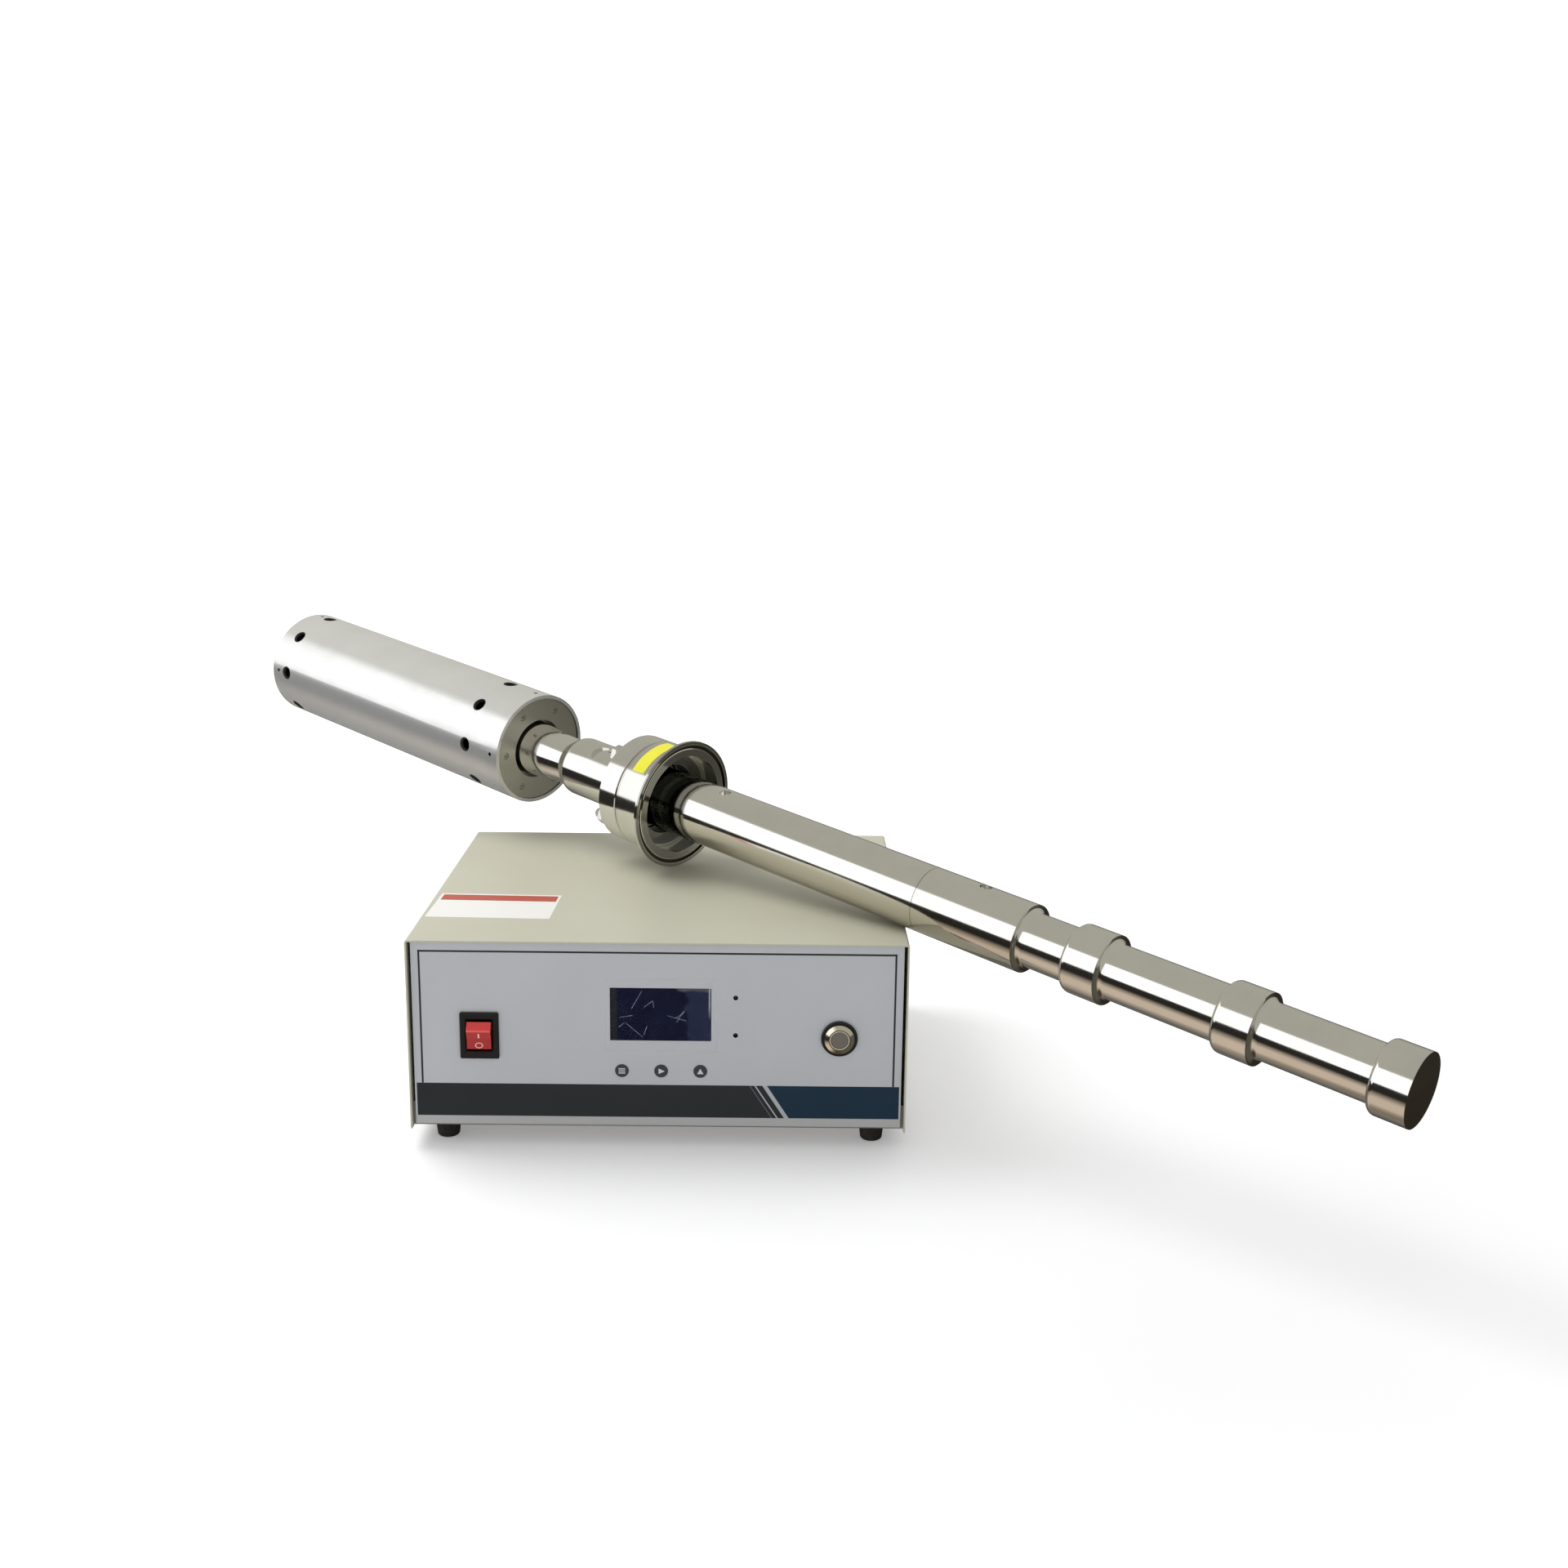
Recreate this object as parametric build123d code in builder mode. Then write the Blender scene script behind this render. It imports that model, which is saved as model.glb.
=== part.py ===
from build123d import *
import os
from math import cos, radians, sin, sqrt

# A probe sonicator: a bench generator in a folded sheet-metal case, with its long probe
# assembly lying diagonally across the top. Millimetres, +Z up, the front panel faces -Y.
# The origin is under the middle of everything's outline, on the bench that the feet stand on.

os.makedirs("parts", exist_ok=True)

# Fits
REST_GAP = 0.3
SLIDE_GAP = 0.15
PIN_GAP = 0.05
THREAD_GAP = 0.1
FULL_TURN = 360.0

# Case sheet metal
CASE_W = 360.0
CASE_D = 315.0
COVER_H = 143.0
SHEET = 1.2
BEND_R = 1.8
PAN_LIFT = 1.0
PAN_WALL_H = 18.0
PANEL_RECESS = 3.0
VENT_L = 34.0
VENT_W = 3.2
VENT_PITCH = 9.0
VENT_COUNT = 7
VENT_ROWS = 2
VENT_ROW_PITCH = 46.0
VENT_BACK = 70.0
VENT_DROP = 70.0

# Feet
FOOT_H = 14.5
FOOT_TOP_R = 9.5
FOOT_TIP_R = 8.0
FOOT_ROUND = 2.2
FOOT_HOLE_R = 4.2
FOOT_SEAT_T = 4.0
FOOT_SCREW_R = 2.0
FOOT_SCREW_HEAD_R = 3.8
FOOT_SCREW_HEAD_H = 2.6
FOOT_SCREW_UP = 6.0
FOOT_SIDE = 23.5
FOOT_FRONT = 22.0
FOOT_BACK = 26.0

# Front panel and its printed film
PANEL_T = 2.0
FILM_T = 0.4
PANEL_SIDE_GAP = 2.3
PANEL_TOP_GAP = 1.0
PANEL_BOTTOM_DROP = 140.2

# Display
WINDOW_X = 2.0
WINDOW_DROP = 54.8
WINDOW_W = 73.0
WINDOW_H = 40.0
WINDOW_SINK = 0.3
MODULE_W = 80.0
MODULE_H = 54.0
MODULE_T = 7.0
MODULE_BOARD_W = 93.0
MODULE_BOARD_H = 70.0
BOARD_T = 1.6

# Lamps and keys
LAMP_X = 56.0
LAMP_DROPS = (41.7, 70.2)
LAMP_HOLE_R = 1.8
LAMP_R = 1.5
LAMP_SINK = 0.8
LAMP_BASE_R = 1.9
KEY_XS = (-26.2, 2.2, 30.6)
KEY_NAMES = ("menu_key", "shift_key", "up_key")
KEY_DROP = 98.0
KEY_R = 4.85
KEY_PROUD = 0.6
KEY_COLLAR_R = 6.2
KEY_COLLAR_T = 1.2
KEY_STEM_R = 1.6
KEY_STEM_L = 2.2
KEY_TRAVEL = 0.5
TACT_SIDE = 6.0

# Control board behind the panel
CONTROL_X = 4.0
CONTROL_DROP = 61.0
CONTROL_W = 130.0
CONTROL_H = 104.0
CONTROL_BACK = 8.0
MODULE_CLEAR = 1.0

# Rocker switch
SWITCH_FROM_SIDE = 51.4
SWITCH_DROP = 71.7
BEZEL_W = 28.0
BEZEL_H = 35.0
BEZEL_PROUD = 2.2
BEZEL_R = 1.2
BEZEL_EDGE = 0.7
SWITCH_BODY_W = 24.0
SWITCH_BODY_H = 30.4
SWITCH_BODY_DEPTH = 21.0
SWITCH_WELL_W = 18.2
SWITCH_WELL_H = 24.0
SWITCH_WELL_EDGE = 1.2
SWITCH_WELL_DEPTH = 13.5
ROCKER_W = 17.4
ROCKER_TIP_HALF = 8.0
ROCKER_TIP_OUT = 8.0
ROCKER_BASE_HALF = 11.4
ROCKER_BASE_OUT = 2.3
ROCKER_WAIST_OUT = 7.1
ROCKER_HEEL_HALF = 5.5
ROCKER_HEEL_OUT = -5.5
ROCKER_ROUND = 0.6
ROCKER_SWING = 13.0
ROCKER_PIVOT_DEPTH = 5.0
TRUNNION_R = 1.5
TRUNNION_L = 1.6

# Start button
START_FROM_SIDE = 49.0
START_DROP = 71.7
TRIM_R = 13.2
TRIM_T = 2.2
TRIM_ROUND = 0.7
HEAD_R = 10.8
HEAD_FACE_R = 7.9
HEAD_H = 2.4
HEAD_EDGE_H = 0.85
BARREL_R = 9.4
BARREL_L = 26.0
PLUNGER_R = 6.5
PLUNGER_SINK = 0.5
PLUNGER_L = 9.0
PLUNGER_COLLAR_R = 7.6
PLUNGER_COLLAR_T = 2.0
PLUNGER_TRAVEL = 2.5
NUT_FLATS = 24.0
NUT_T = 4.0

# Stick-on label on the cover
LABEL_FROM_SIDE = 50.8
LABEL_BACK = 87.5
LABEL_W = 93.0
LABEL_D = 62.0
LABEL_TURN = -1.8
LABEL_T = 0.15

# Cover screws, two a side
COVER_SCREW_R = 2.0
COVER_SCREW_HEAD_R = 3.6
COVER_SCREW_HEAD_H = 1.8
COVER_SCREW_L = 6.0
COVER_SCREW_INSET = 40.0
COVER_SCREW_UP = 10.0

# Back panel and what it carries
BACK_PANEL_GAP = 0.4
FAN_FROM_SIDE = 75.0
FAN_DROP = 66.0
FAN_T = 25.0
FAN_RIM = 2.0
FAN_CORNER_R = 3.0
FAN_HOLE_PITCH = 71.5
FAN_HOLE_INSET = 4.25
FAN_HOLE_R = 2.2
FAN_SCREW_R = 2.0
FAN_SCREW_HEAD_R = 3.8
FAN_SCREW_HEAD_H = 2.2
FAN_BEARING_R = 15.0
FAN_BEARING_T = 7.0
FAN_SPOKE_W = 4.0
FAN_SPOKE_T = 3.0
FAN_SHAFT_R = 1.5
FAN_SHAFT_L = 5.0
FAN_HUB_R = 16.0
FAN_HUB_L = 15.0
FAN_BLADES = 7
FAN_ROOT_CHORD = 15.0
FAN_TIP_CHORD = 21.0
FAN_ROOT_PITCH = 46.0
FAN_TIP_PITCH = 30.0
FAN_BLADE_T = 1.6
FAN_BLADE_ROOT = 1.0
FAN_TIP_GAP = 1.2
GUARD_T = 1.8
GUARD_WIRE = 2.0
GUARD_RINGS = (11.0, 20.0, 29.0, 38.0)
INLET_FROM_SIDE = 60.0
INLET_DROP = 92.0
INLET_PLATE_W = 50.0
INLET_PLATE_H = 28.0
INLET_BODY_W = 27.4
INLET_BODY_H = 20.0
INLET_BODY_DEPTH = 21.0
INLET_WELL_W = 24.0
INLET_WELL_H = 16.4
INLET_WELL_DEPTH = 16.0
INLET_WELL_CUT = 4.2
INLET_SCREW_PITCH = 40.0
INLET_CORNER_R = 3.0
PRONG_W = 2.0
PRONG_H = 4.0
PRONG_L = 14.0
PRONG_PITCH = 7.0
PRONG_RISE = 3.0
FUSE_DROP = 50.0
FUSE_CAP_R = 7.5
FUSE_CAP_L = 9.0
FUSE_CAP_EDGE = 1.0
FUSE_BODY_R = 6.2
FUSE_BODY_L = 30.0
FUSE_SLOT_W = 1.6
OUTPUT_X = -30.0
OUTPUT_DROP = 66.0
OUTPUT_PLATE = 36.0
OUTPUT_BARREL_R = 14.0
OUTPUT_BARREL_L = 14.0
OUTPUT_WALL = 2.0
OUTPUT_FACE_SINK = 3.5
OUTPUT_PIN_R = 1.5
OUTPUT_PIN_PCD = 12.0
OUTPUT_PINS = 4
OUTPUT_HOLE_PITCH = 28.0
CONNECTOR_PLATE_T = 3.0
CONNECTOR_SCREW_R = 1.5
CONNECTOR_SCREW_HEAD_R = 2.8
CONNECTOR_SCREW_HEAD_H = 1.8
CONNECTOR_SCREW_L = 6.0

# Inside the case
MAIN_BOARD_FROM_WALL = 13.8
MAIN_BOARD_FRONT = 50.0
MAIN_BOARD_W = 160.0
MAIN_BOARD_D = 150.0
MAIN_BOARD_UP = 8.0
STANDOFF_R = 3.0
STANDOFF_INSET = 6.0
CAN_R = 15.0
CAN_H = 48.0
CAN_PITCH = 36.0
CAN_COUNT = 3
CAN_ROUND = 1.5
CAN_BEHIND_MIDDLE = 35.0
SINK_FROM_WALL = 26.8
SINK_TO_FAN = 10.8
SINK_W = 120.0
SINK_D = 100.0
SINK_BASE_T = 6.0
FIN_H = 42.0
FIN_T = 2.0
FIN_PITCH = 8.0
FIN_COUNT = 11
SINK_LEDGE_W = 32.0
TRANSISTOR_W = 16.0
TRANSISTOR_D = 20.0
TRANSISTOR_T = 5.0
TRANSISTOR_COUNT = 4
TRANSISTOR_PITCH = 22.0
TOROID_FROM_WALL = 31.8
TOROID_R = 52.0
TOROID_HOLE_R = 20.0
TOROID_H = 48.0
TOROID_ROUND = 12.0
TOROID_CAP_R = 34.0
TOROID_CAP_T = 3.0
TOROID_BOLT_R = 4.0
TOROID_NUT_R = 7.5

# Probe assembly. Stations run along its axis from the flange's front face, + towards the tip.
PROBE_TURN = -41.44
FLANGE_X = 7.6
FLANGE_BACK = 204.6
TIP_END = 626.0

# Transducer housing
HOUSING_R = 48.5
HOUSING_WALL = 3.0
HOUSING_FRONT = -178.0
HOUSING_BACK = -515.0
VENT_HOLE_R = 4.6
VENT_HOLE_SINK_R = 5.7
VENT_HOLE_STATIONS = (-221.0, -493.0)
VENT_HOLES = 8
CAP_SINK = 1.5
CAP_T = 15.0
CAP_GAP = 0.2
CAP_BORE_R = 26.0
CAP_SCREW_RING_R = 36.5
CAP_SCREWS = 6
CAP_SCREW_TURN = 33.0
CAP_SCREW_R = 2.0
CAP_SCREW_HEAD_R = 2.9
CAP_SCREW_HEAD_H = 3.2
CAP_SCREW_SINK = 0.6
SIDE_SCREW_IN = 9.0
SIDE_SCREW_R = 1.6
SIDE_SCREW_SINK = 0.9
SIDE_SCREW_L = 9.0
SIDE_SCREWS = 4
CABLE_BARREL_R = 10.0
CABLE_BARREL_L = 14.0
CABLE_PLATE_R = 14.0
CABLE_PLATE_T = 3.0
CABLE_WALL = 1.6
CABLE_FACE_SINK = 3.0
CABLE_BODY_R = 8.0
CABLE_BODY_L = 14.0

# Transducer stack
HORN_FLANGE_R = 44.0
HORN_FLANGE_T = 8.0
HORN_BACK_R = 29.0
HORN_BACK_L = 59.0
HORN_NECK_R = 24.6
HORN_END_R = 19.6
HORN_END = -131.0
CERAMIC_R = 25.0
CERAMIC_HOLE_R = 10.0
CERAMIC_T = 6.0
CERAMICS = 4
PLATE_T = 0.4
TAB_W = 5.0
TAB_L = 8.0
BACK_MASS_R = 25.0
BACK_MASS_L = 46.0
BACK_MASS_EDGE = 2.0
DRAWBOLT_R = 8.0
DRAWBOLT_HEAD_R = 12.5
DRAWBOLT_HEAD_L = 16.0
DRAWBOLT_SOCKET = 14.0
DRAWBOLT_GRIP = 28.0

# Booster and the hub that clamps it
BOOSTER_CONE_L = 10.0
BOOSTER_CONE_ROUND = 10.0
BOOSTER_END = -28.0
NODE_R = 32.0
NODE_T = 10.0
NODE_FRONT = -34.0
SEAL_T = 2.0
HUB_R = 45.0
HUB_BACK = -52.9
HUB_GAP = 0.6
HUB_EDGE = 0.6
JOINT_GROOVE_W = 1.3
JOINT_GROOVE_DEPTH = 1.1
HUB_STUDS = 4
HUB_STUD_TURN = 34.0
HUB_STUD_RING_R = 37.0
HUB_STUD_R = 4.0
HUB_STUD_OUT = 14.0
HUB_STUD_IN = 9.0
HUB_WASHER_R = 7.0
HUB_WASHER_T = 1.6
HUB_NUT_FLATS = 13.0
HUB_NUT_T = 6.5
SPANNER_R = 4.5
SPANNER_DEPTH = 4.0
BOOSTER_SPANNER_AT = -88.0
BOOSTER_SPANNER_TURN = 28.0
BOOSTER_SPANNER_R = 8.6
BOOSTER_SPANNER_DEPTH = 2.6

# Sanitary flange on the collar
RIM_R = 53.0
RIM_T = 2.85
RIM_SLOPE = 20.0
COLLAR_BORE_R = 41.0
COLLAR_BORE_DEPTH = 17.0
COLLAR_PLATE_R = 29.0
COLLAR_RING_W = 2.5
COLLAR_RING_T = 1.0
GROOVE_R = 48.3
GROOVE_W = 3.0
GROOVE_DEPTH = 1.2
COLLAR_LABEL_FRONT = -13.5
COLLAR_LABEL_BACK = -26.0
COLLAR_LABEL_START = -4.0
COLLAR_LABEL_END = 51.5

# Extension rod and probe
ROD_R = 25.0
NECK_R = 19.75
ROD_JOINT = 254.5
ROD_SPANNER_AT = 48.5
ROD_SPANNER_TURN = 9.0
PROBE_SPANNER_AT = 299.4
PROBE_SPANNER_TURN = -2.0
PROBE_SHOULDER = 342.0
RINGS = ((380.0, 408.5), (494.5, 521.8), (600.0, TIP_END))
RING_ROUND = 4.4
NECK_FILLET = 4.8
STUD_R = 8.0
STUD_L = 40.0


def resting_tilt():
    """The tilt at which the rim lies on the cover and the rod on its rounded right edge."""
    low, high = 0.0, radians(30.0)
    for _ in range(60):
        tilt = (low + high) / 2
        across = cos(tilt) * cos(radians(PROBE_TURN))
        run = CASE_W / 2 - BEND_R - FLANGE_X
        rise = REST_GAP + RIM_R * cos(tilt) + BEND_R
        apart = (rise * across - run * sin(tilt)) / sqrt(sin(tilt) ** 2 + across ** 2)
        if apart > ROD_R + REST_GAP + BEND_R:
            low = tilt
        else:
            high = tilt
    return tilt


TOP_Z = FOOT_H - PAN_LIFT + COVER_H
TILT = resting_tilt()
AIM = Vector(cos(TILT) * cos(radians(PROBE_TURN)), cos(TILT) * sin(radians(PROBE_TURN)), -sin(TILT))
RAISE = (Vector(0, 0, 1) - AIM * AIM.Z).normalized()
SIDE = AIM.cross(RAISE)

# The case stands where the outline of the whole is centred on the origin: the housing's back
# rim and the tip reach furthest both ways.
SPREAD_X = sqrt(1 - AIM.X ** 2)
SPREAD_Y = sqrt(1 - AIM.Y ** 2)
REACH_LEFT = AIM.X * HOUSING_BACK - HOUSING_R * SPREAD_X
REACH_RIGHT = AIM.X * TIP_END + ROD_R * SPREAD_X
REACH_FRONT = AIM.Y * TIP_END - ROD_R * SPREAD_Y
REACH_BACK = AIM.Y * HOUSING_BACK + HOUSING_R * SPREAD_Y
FLANGE = Vector(-(REACH_LEFT + REACH_RIGHT) / 2, -(REACH_FRONT + REACH_BACK) / 2,
                TOP_Z + REST_GAP + RIM_R * cos(TILT))
CASE_X = FLANGE.X - FLANGE_X
FRONT_Y = FLANGE.Y - FLANGE_BACK

INNER_W = CASE_W - 2 * SHEET
PANEL_W = INNER_W - 2 * PANEL_SIDE_GAP
PANEL_BOTTOM_Z = TOP_Z - PANEL_BOTTOM_DROP
PANEL_TOP_Z = TOP_Z - SHEET - PANEL_TOP_GAP
FILM_Y = FRONT_Y + PANEL_RECESS
PANEL_Y = FILM_Y + FILM_T
BEHIND_Y = PANEL_Y + PANEL_T
BACK_Y = FRONT_Y + CASE_D - PANEL_RECESS
BACK_INSIDE_Y = BACK_Y - SHEET
FLOOR_Z = FOOT_H + SHEET
PROBE_AXIS = Axis(FLANGE, AIM)

FAN_SIDE = FAN_HOLE_PITCH + 2 * FAN_HOLE_INSET
FAN_BORE_R = FAN_SIDE / 2 - FAN_RIM

# Places across the case, x from its middle and back from its front edge. What sits near a side or a
# panel keeps its distance to it.
SWITCH_X = SWITCH_FROM_SIDE - CASE_W / 2
START_X = CASE_W / 2 - START_FROM_SIDE
LABEL_X = LABEL_FROM_SIDE - CASE_W / 2
FAN_X = CASE_W / 2 - FAN_FROM_SIDE
INLET_X = INLET_FROM_SIDE - CASE_W / 2
FUSE_X = INLET_X
MAIN_BOARD_X = MAIN_BOARD_FROM_WALL + (MAIN_BOARD_W - INNER_W) / 2
MAIN_BOARD_BACK = MAIN_BOARD_FRONT + MAIN_BOARD_D / 2
CAN_BACK = MAIN_BOARD_BACK + CAN_BEHIND_MIDDLE
SINK_X = (INNER_W - SINK_W) / 2 - SINK_FROM_WALL
SINK_BACK = BACK_INSIDE_Y - FAN_T - SINK_TO_FAN - SINK_D / 2 - FRONT_Y
TOROID_X = INNER_W / 2 - TOROID_FROM_WALL - TOROID_R
TOROID_BACK = (BEHIND_Y + CONTROL_BACK + BOARD_T - FRONT_Y + SINK_BACK - SINK_D / 2) / 2


def facing_front(x, y, drop):
    """A plane that looks out of the front panel, x from the case's middle, drop below its top."""
    return Plane(origin=(CASE_X + x, y, TOP_Z - drop), x_dir=(1, 0, 0), z_dir=(0, -1, 0))


def facing_back(x, y, drop):
    """A plane that looks out of the back panel."""
    return Plane(origin=(CASE_X + x, y, TOP_Z - drop), x_dir=(-1, 0, 0), z_dir=(0, 1, 0))


def level(x, back, z):
    """A level plane, x from the case's middle and back from the cover's front edge."""
    return Plane.XY.offset(z).shift_origin((CASE_X + x, FRONT_Y + back, z))


def across_probe(station):
    """The plane across the probe at a station, with its local x up and its normal to the tip."""
    return Plane(origin=FLANGE + AIM * station, x_dir=RAISE, z_dir=AIM)


def along_probe():
    """The plane through the probe's axis: local x is the station and local y the radius."""
    return Plane(origin=FLANGE, x_dir=AIM, z_dir=SIDE)


def out_of_probe(station, radius, turn):
    """A plane on the probe's side at a turn from its top, looking straight out."""
    outward = RAISE * cos(radians(turn)) + SIDE * sin(radians(turn))
    return Plane(origin=FLANGE + AIM * station + outward * radius, x_dir=AIM, z_dir=outward)


def save(piece, name):
    piece.part.label = name
    export_step(piece.part, f"parts/{name}.step")


# Cover: one sheet folded down at both sides, open below, with cooling slots in its sides.
with BuildPart() as case_cover:
    with BuildSketch(facing_front(0, FRONT_Y, 0)) as cover_profile:
        with Locations((0, -COVER_H / 2)):
            Rectangle(CASE_W, COVER_H)
        fillet(cover_profile.vertices().group_by(Axis.Y)[-1], BEND_R)
    extrude(amount=-CASE_D)
    with BuildSketch(facing_front(0, FRONT_Y, SHEET)) as cover_inside:
        with Locations((0, -COVER_H / 2)):
            Rectangle(INNER_W, COVER_H)
        fillet(cover_inside.vertices().group_by(Axis.Y)[-1], BEND_R - SHEET)
    extrude(amount=-CASE_D, mode=Mode.SUBTRACT)
    side_plane = Plane(origin=(CASE_X, FRONT_Y + CASE_D - VENT_BACK, TOP_Z - VENT_DROP),
                       x_dir=(0, 1, 0), z_dir=(1, 0, 0))
    with BuildSketch(side_plane):
        with GridLocations(VENT_PITCH, VENT_ROW_PITCH, VENT_COUNT, VENT_ROWS):
            SlotOverall(VENT_L, VENT_W, rotation=90)
    extrude(amount=CASE_W, both=True, mode=Mode.SUBTRACT)
    with BuildSketch(Plane(origin=(CASE_X, FRONT_Y + CASE_D / 2, FOOT_H + COVER_SCREW_UP),
                           x_dir=(0, 1, 0), z_dir=(1, 0, 0))):
        with GridLocations(CASE_D - 2 * COVER_SCREW_INSET, 1, 2, 1):
            Circle(COVER_SCREW_R + THREAD_GAP)
    extrude(amount=CASE_W, both=True, mode=Mode.SUBTRACT)
save(case_cover, "case_cover")

# Chassis pan: the tray that carries everything, with the feet and the boards screwed to it.
PAN_D = BACK_INSIDE_Y - BEHIND_Y
PAN_BACK = (BACK_INSIDE_Y + BEHIND_Y) / 2 - FRONT_Y
FOOT_SPOTS = [(side * (CASE_W / 2 - FOOT_SIDE), back)
              for side in (-1, 1) for back in (FOOT_FRONT, CASE_D - FOOT_BACK)]
with BuildPart() as chassis_pan:
    with BuildSketch(level(0, PAN_BACK, FOOT_H)):
        Rectangle(INNER_W, PAN_D)
    extrude(amount=PAN_WALL_H)
    offset(amount=-SHEET, openings=chassis_pan.faces().sort_by(Axis.Z)[-1])
    with BuildSketch(level(0, 0, FOOT_H)):
        with Locations(*FOOT_SPOTS):
            Circle(FOOT_SCREW_R + THREAD_GAP)
    extrude(amount=SHEET, mode=Mode.SUBTRACT)
    with BuildSketch(Plane(origin=(CASE_X, FRONT_Y + CASE_D / 2, FOOT_H + COVER_SCREW_UP),
                           x_dir=(0, 1, 0), z_dir=(1, 0, 0))):
        with GridLocations(CASE_D - 2 * COVER_SCREW_INSET, 1, 2, 1):
            Circle(COVER_SCREW_R + THREAD_GAP)
    extrude(amount=CASE_W, both=True, mode=Mode.SUBTRACT)
save(chassis_pan, "chassis_pan")

# Cover screws: pan heads outside, through the cover and the pan's side walls.
with BuildPart() as cover_screws:
    for side in (-1, 1):
        outside = Plane(origin=(CASE_X + side * CASE_W / 2, FRONT_Y + CASE_D / 2, FOOT_H + COVER_SCREW_UP),
                        x_dir=(0, 1, 0), z_dir=(side, 0, 0))
        with BuildSketch(outside):
            with GridLocations(CASE_D - 2 * COVER_SCREW_INSET, 1, 2, 1):
                Circle(COVER_SCREW_HEAD_R)
        extrude(amount=COVER_SCREW_HEAD_H)
        with BuildSketch(outside):
            with GridLocations(CASE_D - 2 * COVER_SCREW_INSET, 1, 2, 1):
                Circle(COVER_SCREW_R)
        extrude(amount=-COVER_SCREW_L)
save(cover_screws, "cover_screws")

# Rubber feet: tapered pucks with a rounded tread and a deep screw hole up from below.
with BuildPart() as rubber_feet:
    for x, back in FOOT_SPOTS:
        foot_plane = Plane(origin=(CASE_X + x, FRONT_Y + back, 0), x_dir=(1, 0, 0), z_dir=(0, -1, 0))
        with BuildSketch(foot_plane) as foot_outline:
            with BuildLine():
                Polyline((FOOT_HOLE_R, 0), (FOOT_TIP_R, 0), (FOOT_TOP_R, FOOT_H),
                         (FOOT_SCREW_R + THREAD_GAP, FOOT_H),
                         (FOOT_SCREW_R + THREAD_GAP, FOOT_H - FOOT_SEAT_T),
                         (FOOT_HOLE_R, FOOT_H - FOOT_SEAT_T), close=True)
            make_face()
            fillet(foot_outline.vertices().group_by(Axis.Y)[0].sort_by(Axis.X)[-1], FOOT_ROUND)
        revolve(axis=Axis((CASE_X + x, FRONT_Y + back, 0), (0, 0, 1)))
save(rubber_feet, "rubber_feet")

with BuildPart() as foot_screws:
    with BuildSketch(level(0, 0, FOOT_H - FOOT_SEAT_T - FOOT_SCREW_HEAD_H)):
        with Locations(*FOOT_SPOTS):
            Circle(FOOT_SCREW_HEAD_R)
    extrude(amount=FOOT_SCREW_HEAD_H)
    with BuildSketch(level(0, 0, FOOT_H - FOOT_SEAT_T)):
        with Locations(*FOOT_SPOTS):
            Circle(FOOT_SCREW_R)
    extrude(amount=FOOT_SEAT_T + FOOT_SCREW_UP)
save(foot_screws, "foot_screws")


def panel_blank(y):
    """The front panel's outline with its openings, on a plane facing the front."""
    with BuildSketch(facing_front(0, y, (PANEL_BOTTOM_DROP + TOP_Z - PANEL_TOP_Z) / 2)) as blank:
        middle = (PANEL_BOTTOM_DROP + TOP_Z - PANEL_TOP_Z) / 2
        Rectangle(PANEL_W, PANEL_TOP_Z - PANEL_BOTTOM_Z)
        with Locations((WINDOW_X, middle - WINDOW_DROP)):
            Rectangle(WINDOW_W, WINDOW_H, mode=Mode.SUBTRACT)
        with Locations((SWITCH_X, middle - SWITCH_DROP)):
            Rectangle(SWITCH_BODY_W + 2 * SLIDE_GAP, SWITCH_BODY_H + 2 * SLIDE_GAP, mode=Mode.SUBTRACT)
        with Locations((START_X, middle - START_DROP)):
            Circle(BARREL_R + SLIDE_GAP, mode=Mode.SUBTRACT)
        with Locations(*[(x, middle - KEY_DROP) for x in KEY_XS]):
            Circle(KEY_R + SLIDE_GAP, mode=Mode.SUBTRACT)
        with Locations(*[(LAMP_X, middle - drop) for drop in LAMP_DROPS]):
            Circle(LAMP_HOLE_R, mode=Mode.SUBTRACT)
    return blank.sketch


# Front panel: an aluminium plate set back inside the cover, with a printed film over it.
with BuildPart() as front_panel:
    extrude(panel_blank(PANEL_Y), amount=-PANEL_T)
save(front_panel, "front_panel")

with BuildPart() as panel_film:
    extrude(panel_blank(FILM_Y), amount=-FILM_T)
save(panel_film, "panel_film")

# Display: a clear window in the panel, and the module behind it on its own board.
with BuildPart() as display_window:
    with BuildSketch(facing_front(WINDOW_X, BEHIND_Y, WINDOW_DROP)):
        Rectangle(WINDOW_W - 2 * THREAD_GAP, WINDOW_H - 2 * THREAD_GAP)
    extrude(amount=PANEL_T + FILM_T - WINDOW_SINK)
save(display_window, "display_window")

with BuildPart() as display_module:
    with BuildSketch(facing_front(WINDOW_X, BEHIND_Y, WINDOW_DROP)):
        Rectangle(MODULE_W, MODULE_H)
    extrude(amount=-MODULE_T)
    with BuildSketch(facing_front(WINDOW_X, BEHIND_Y + MODULE_T, WINDOW_DROP)):
        Rectangle(MODULE_BOARD_W, MODULE_BOARD_H)
    extrude(amount=-BOARD_T)
save(display_module, "display_module")

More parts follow.
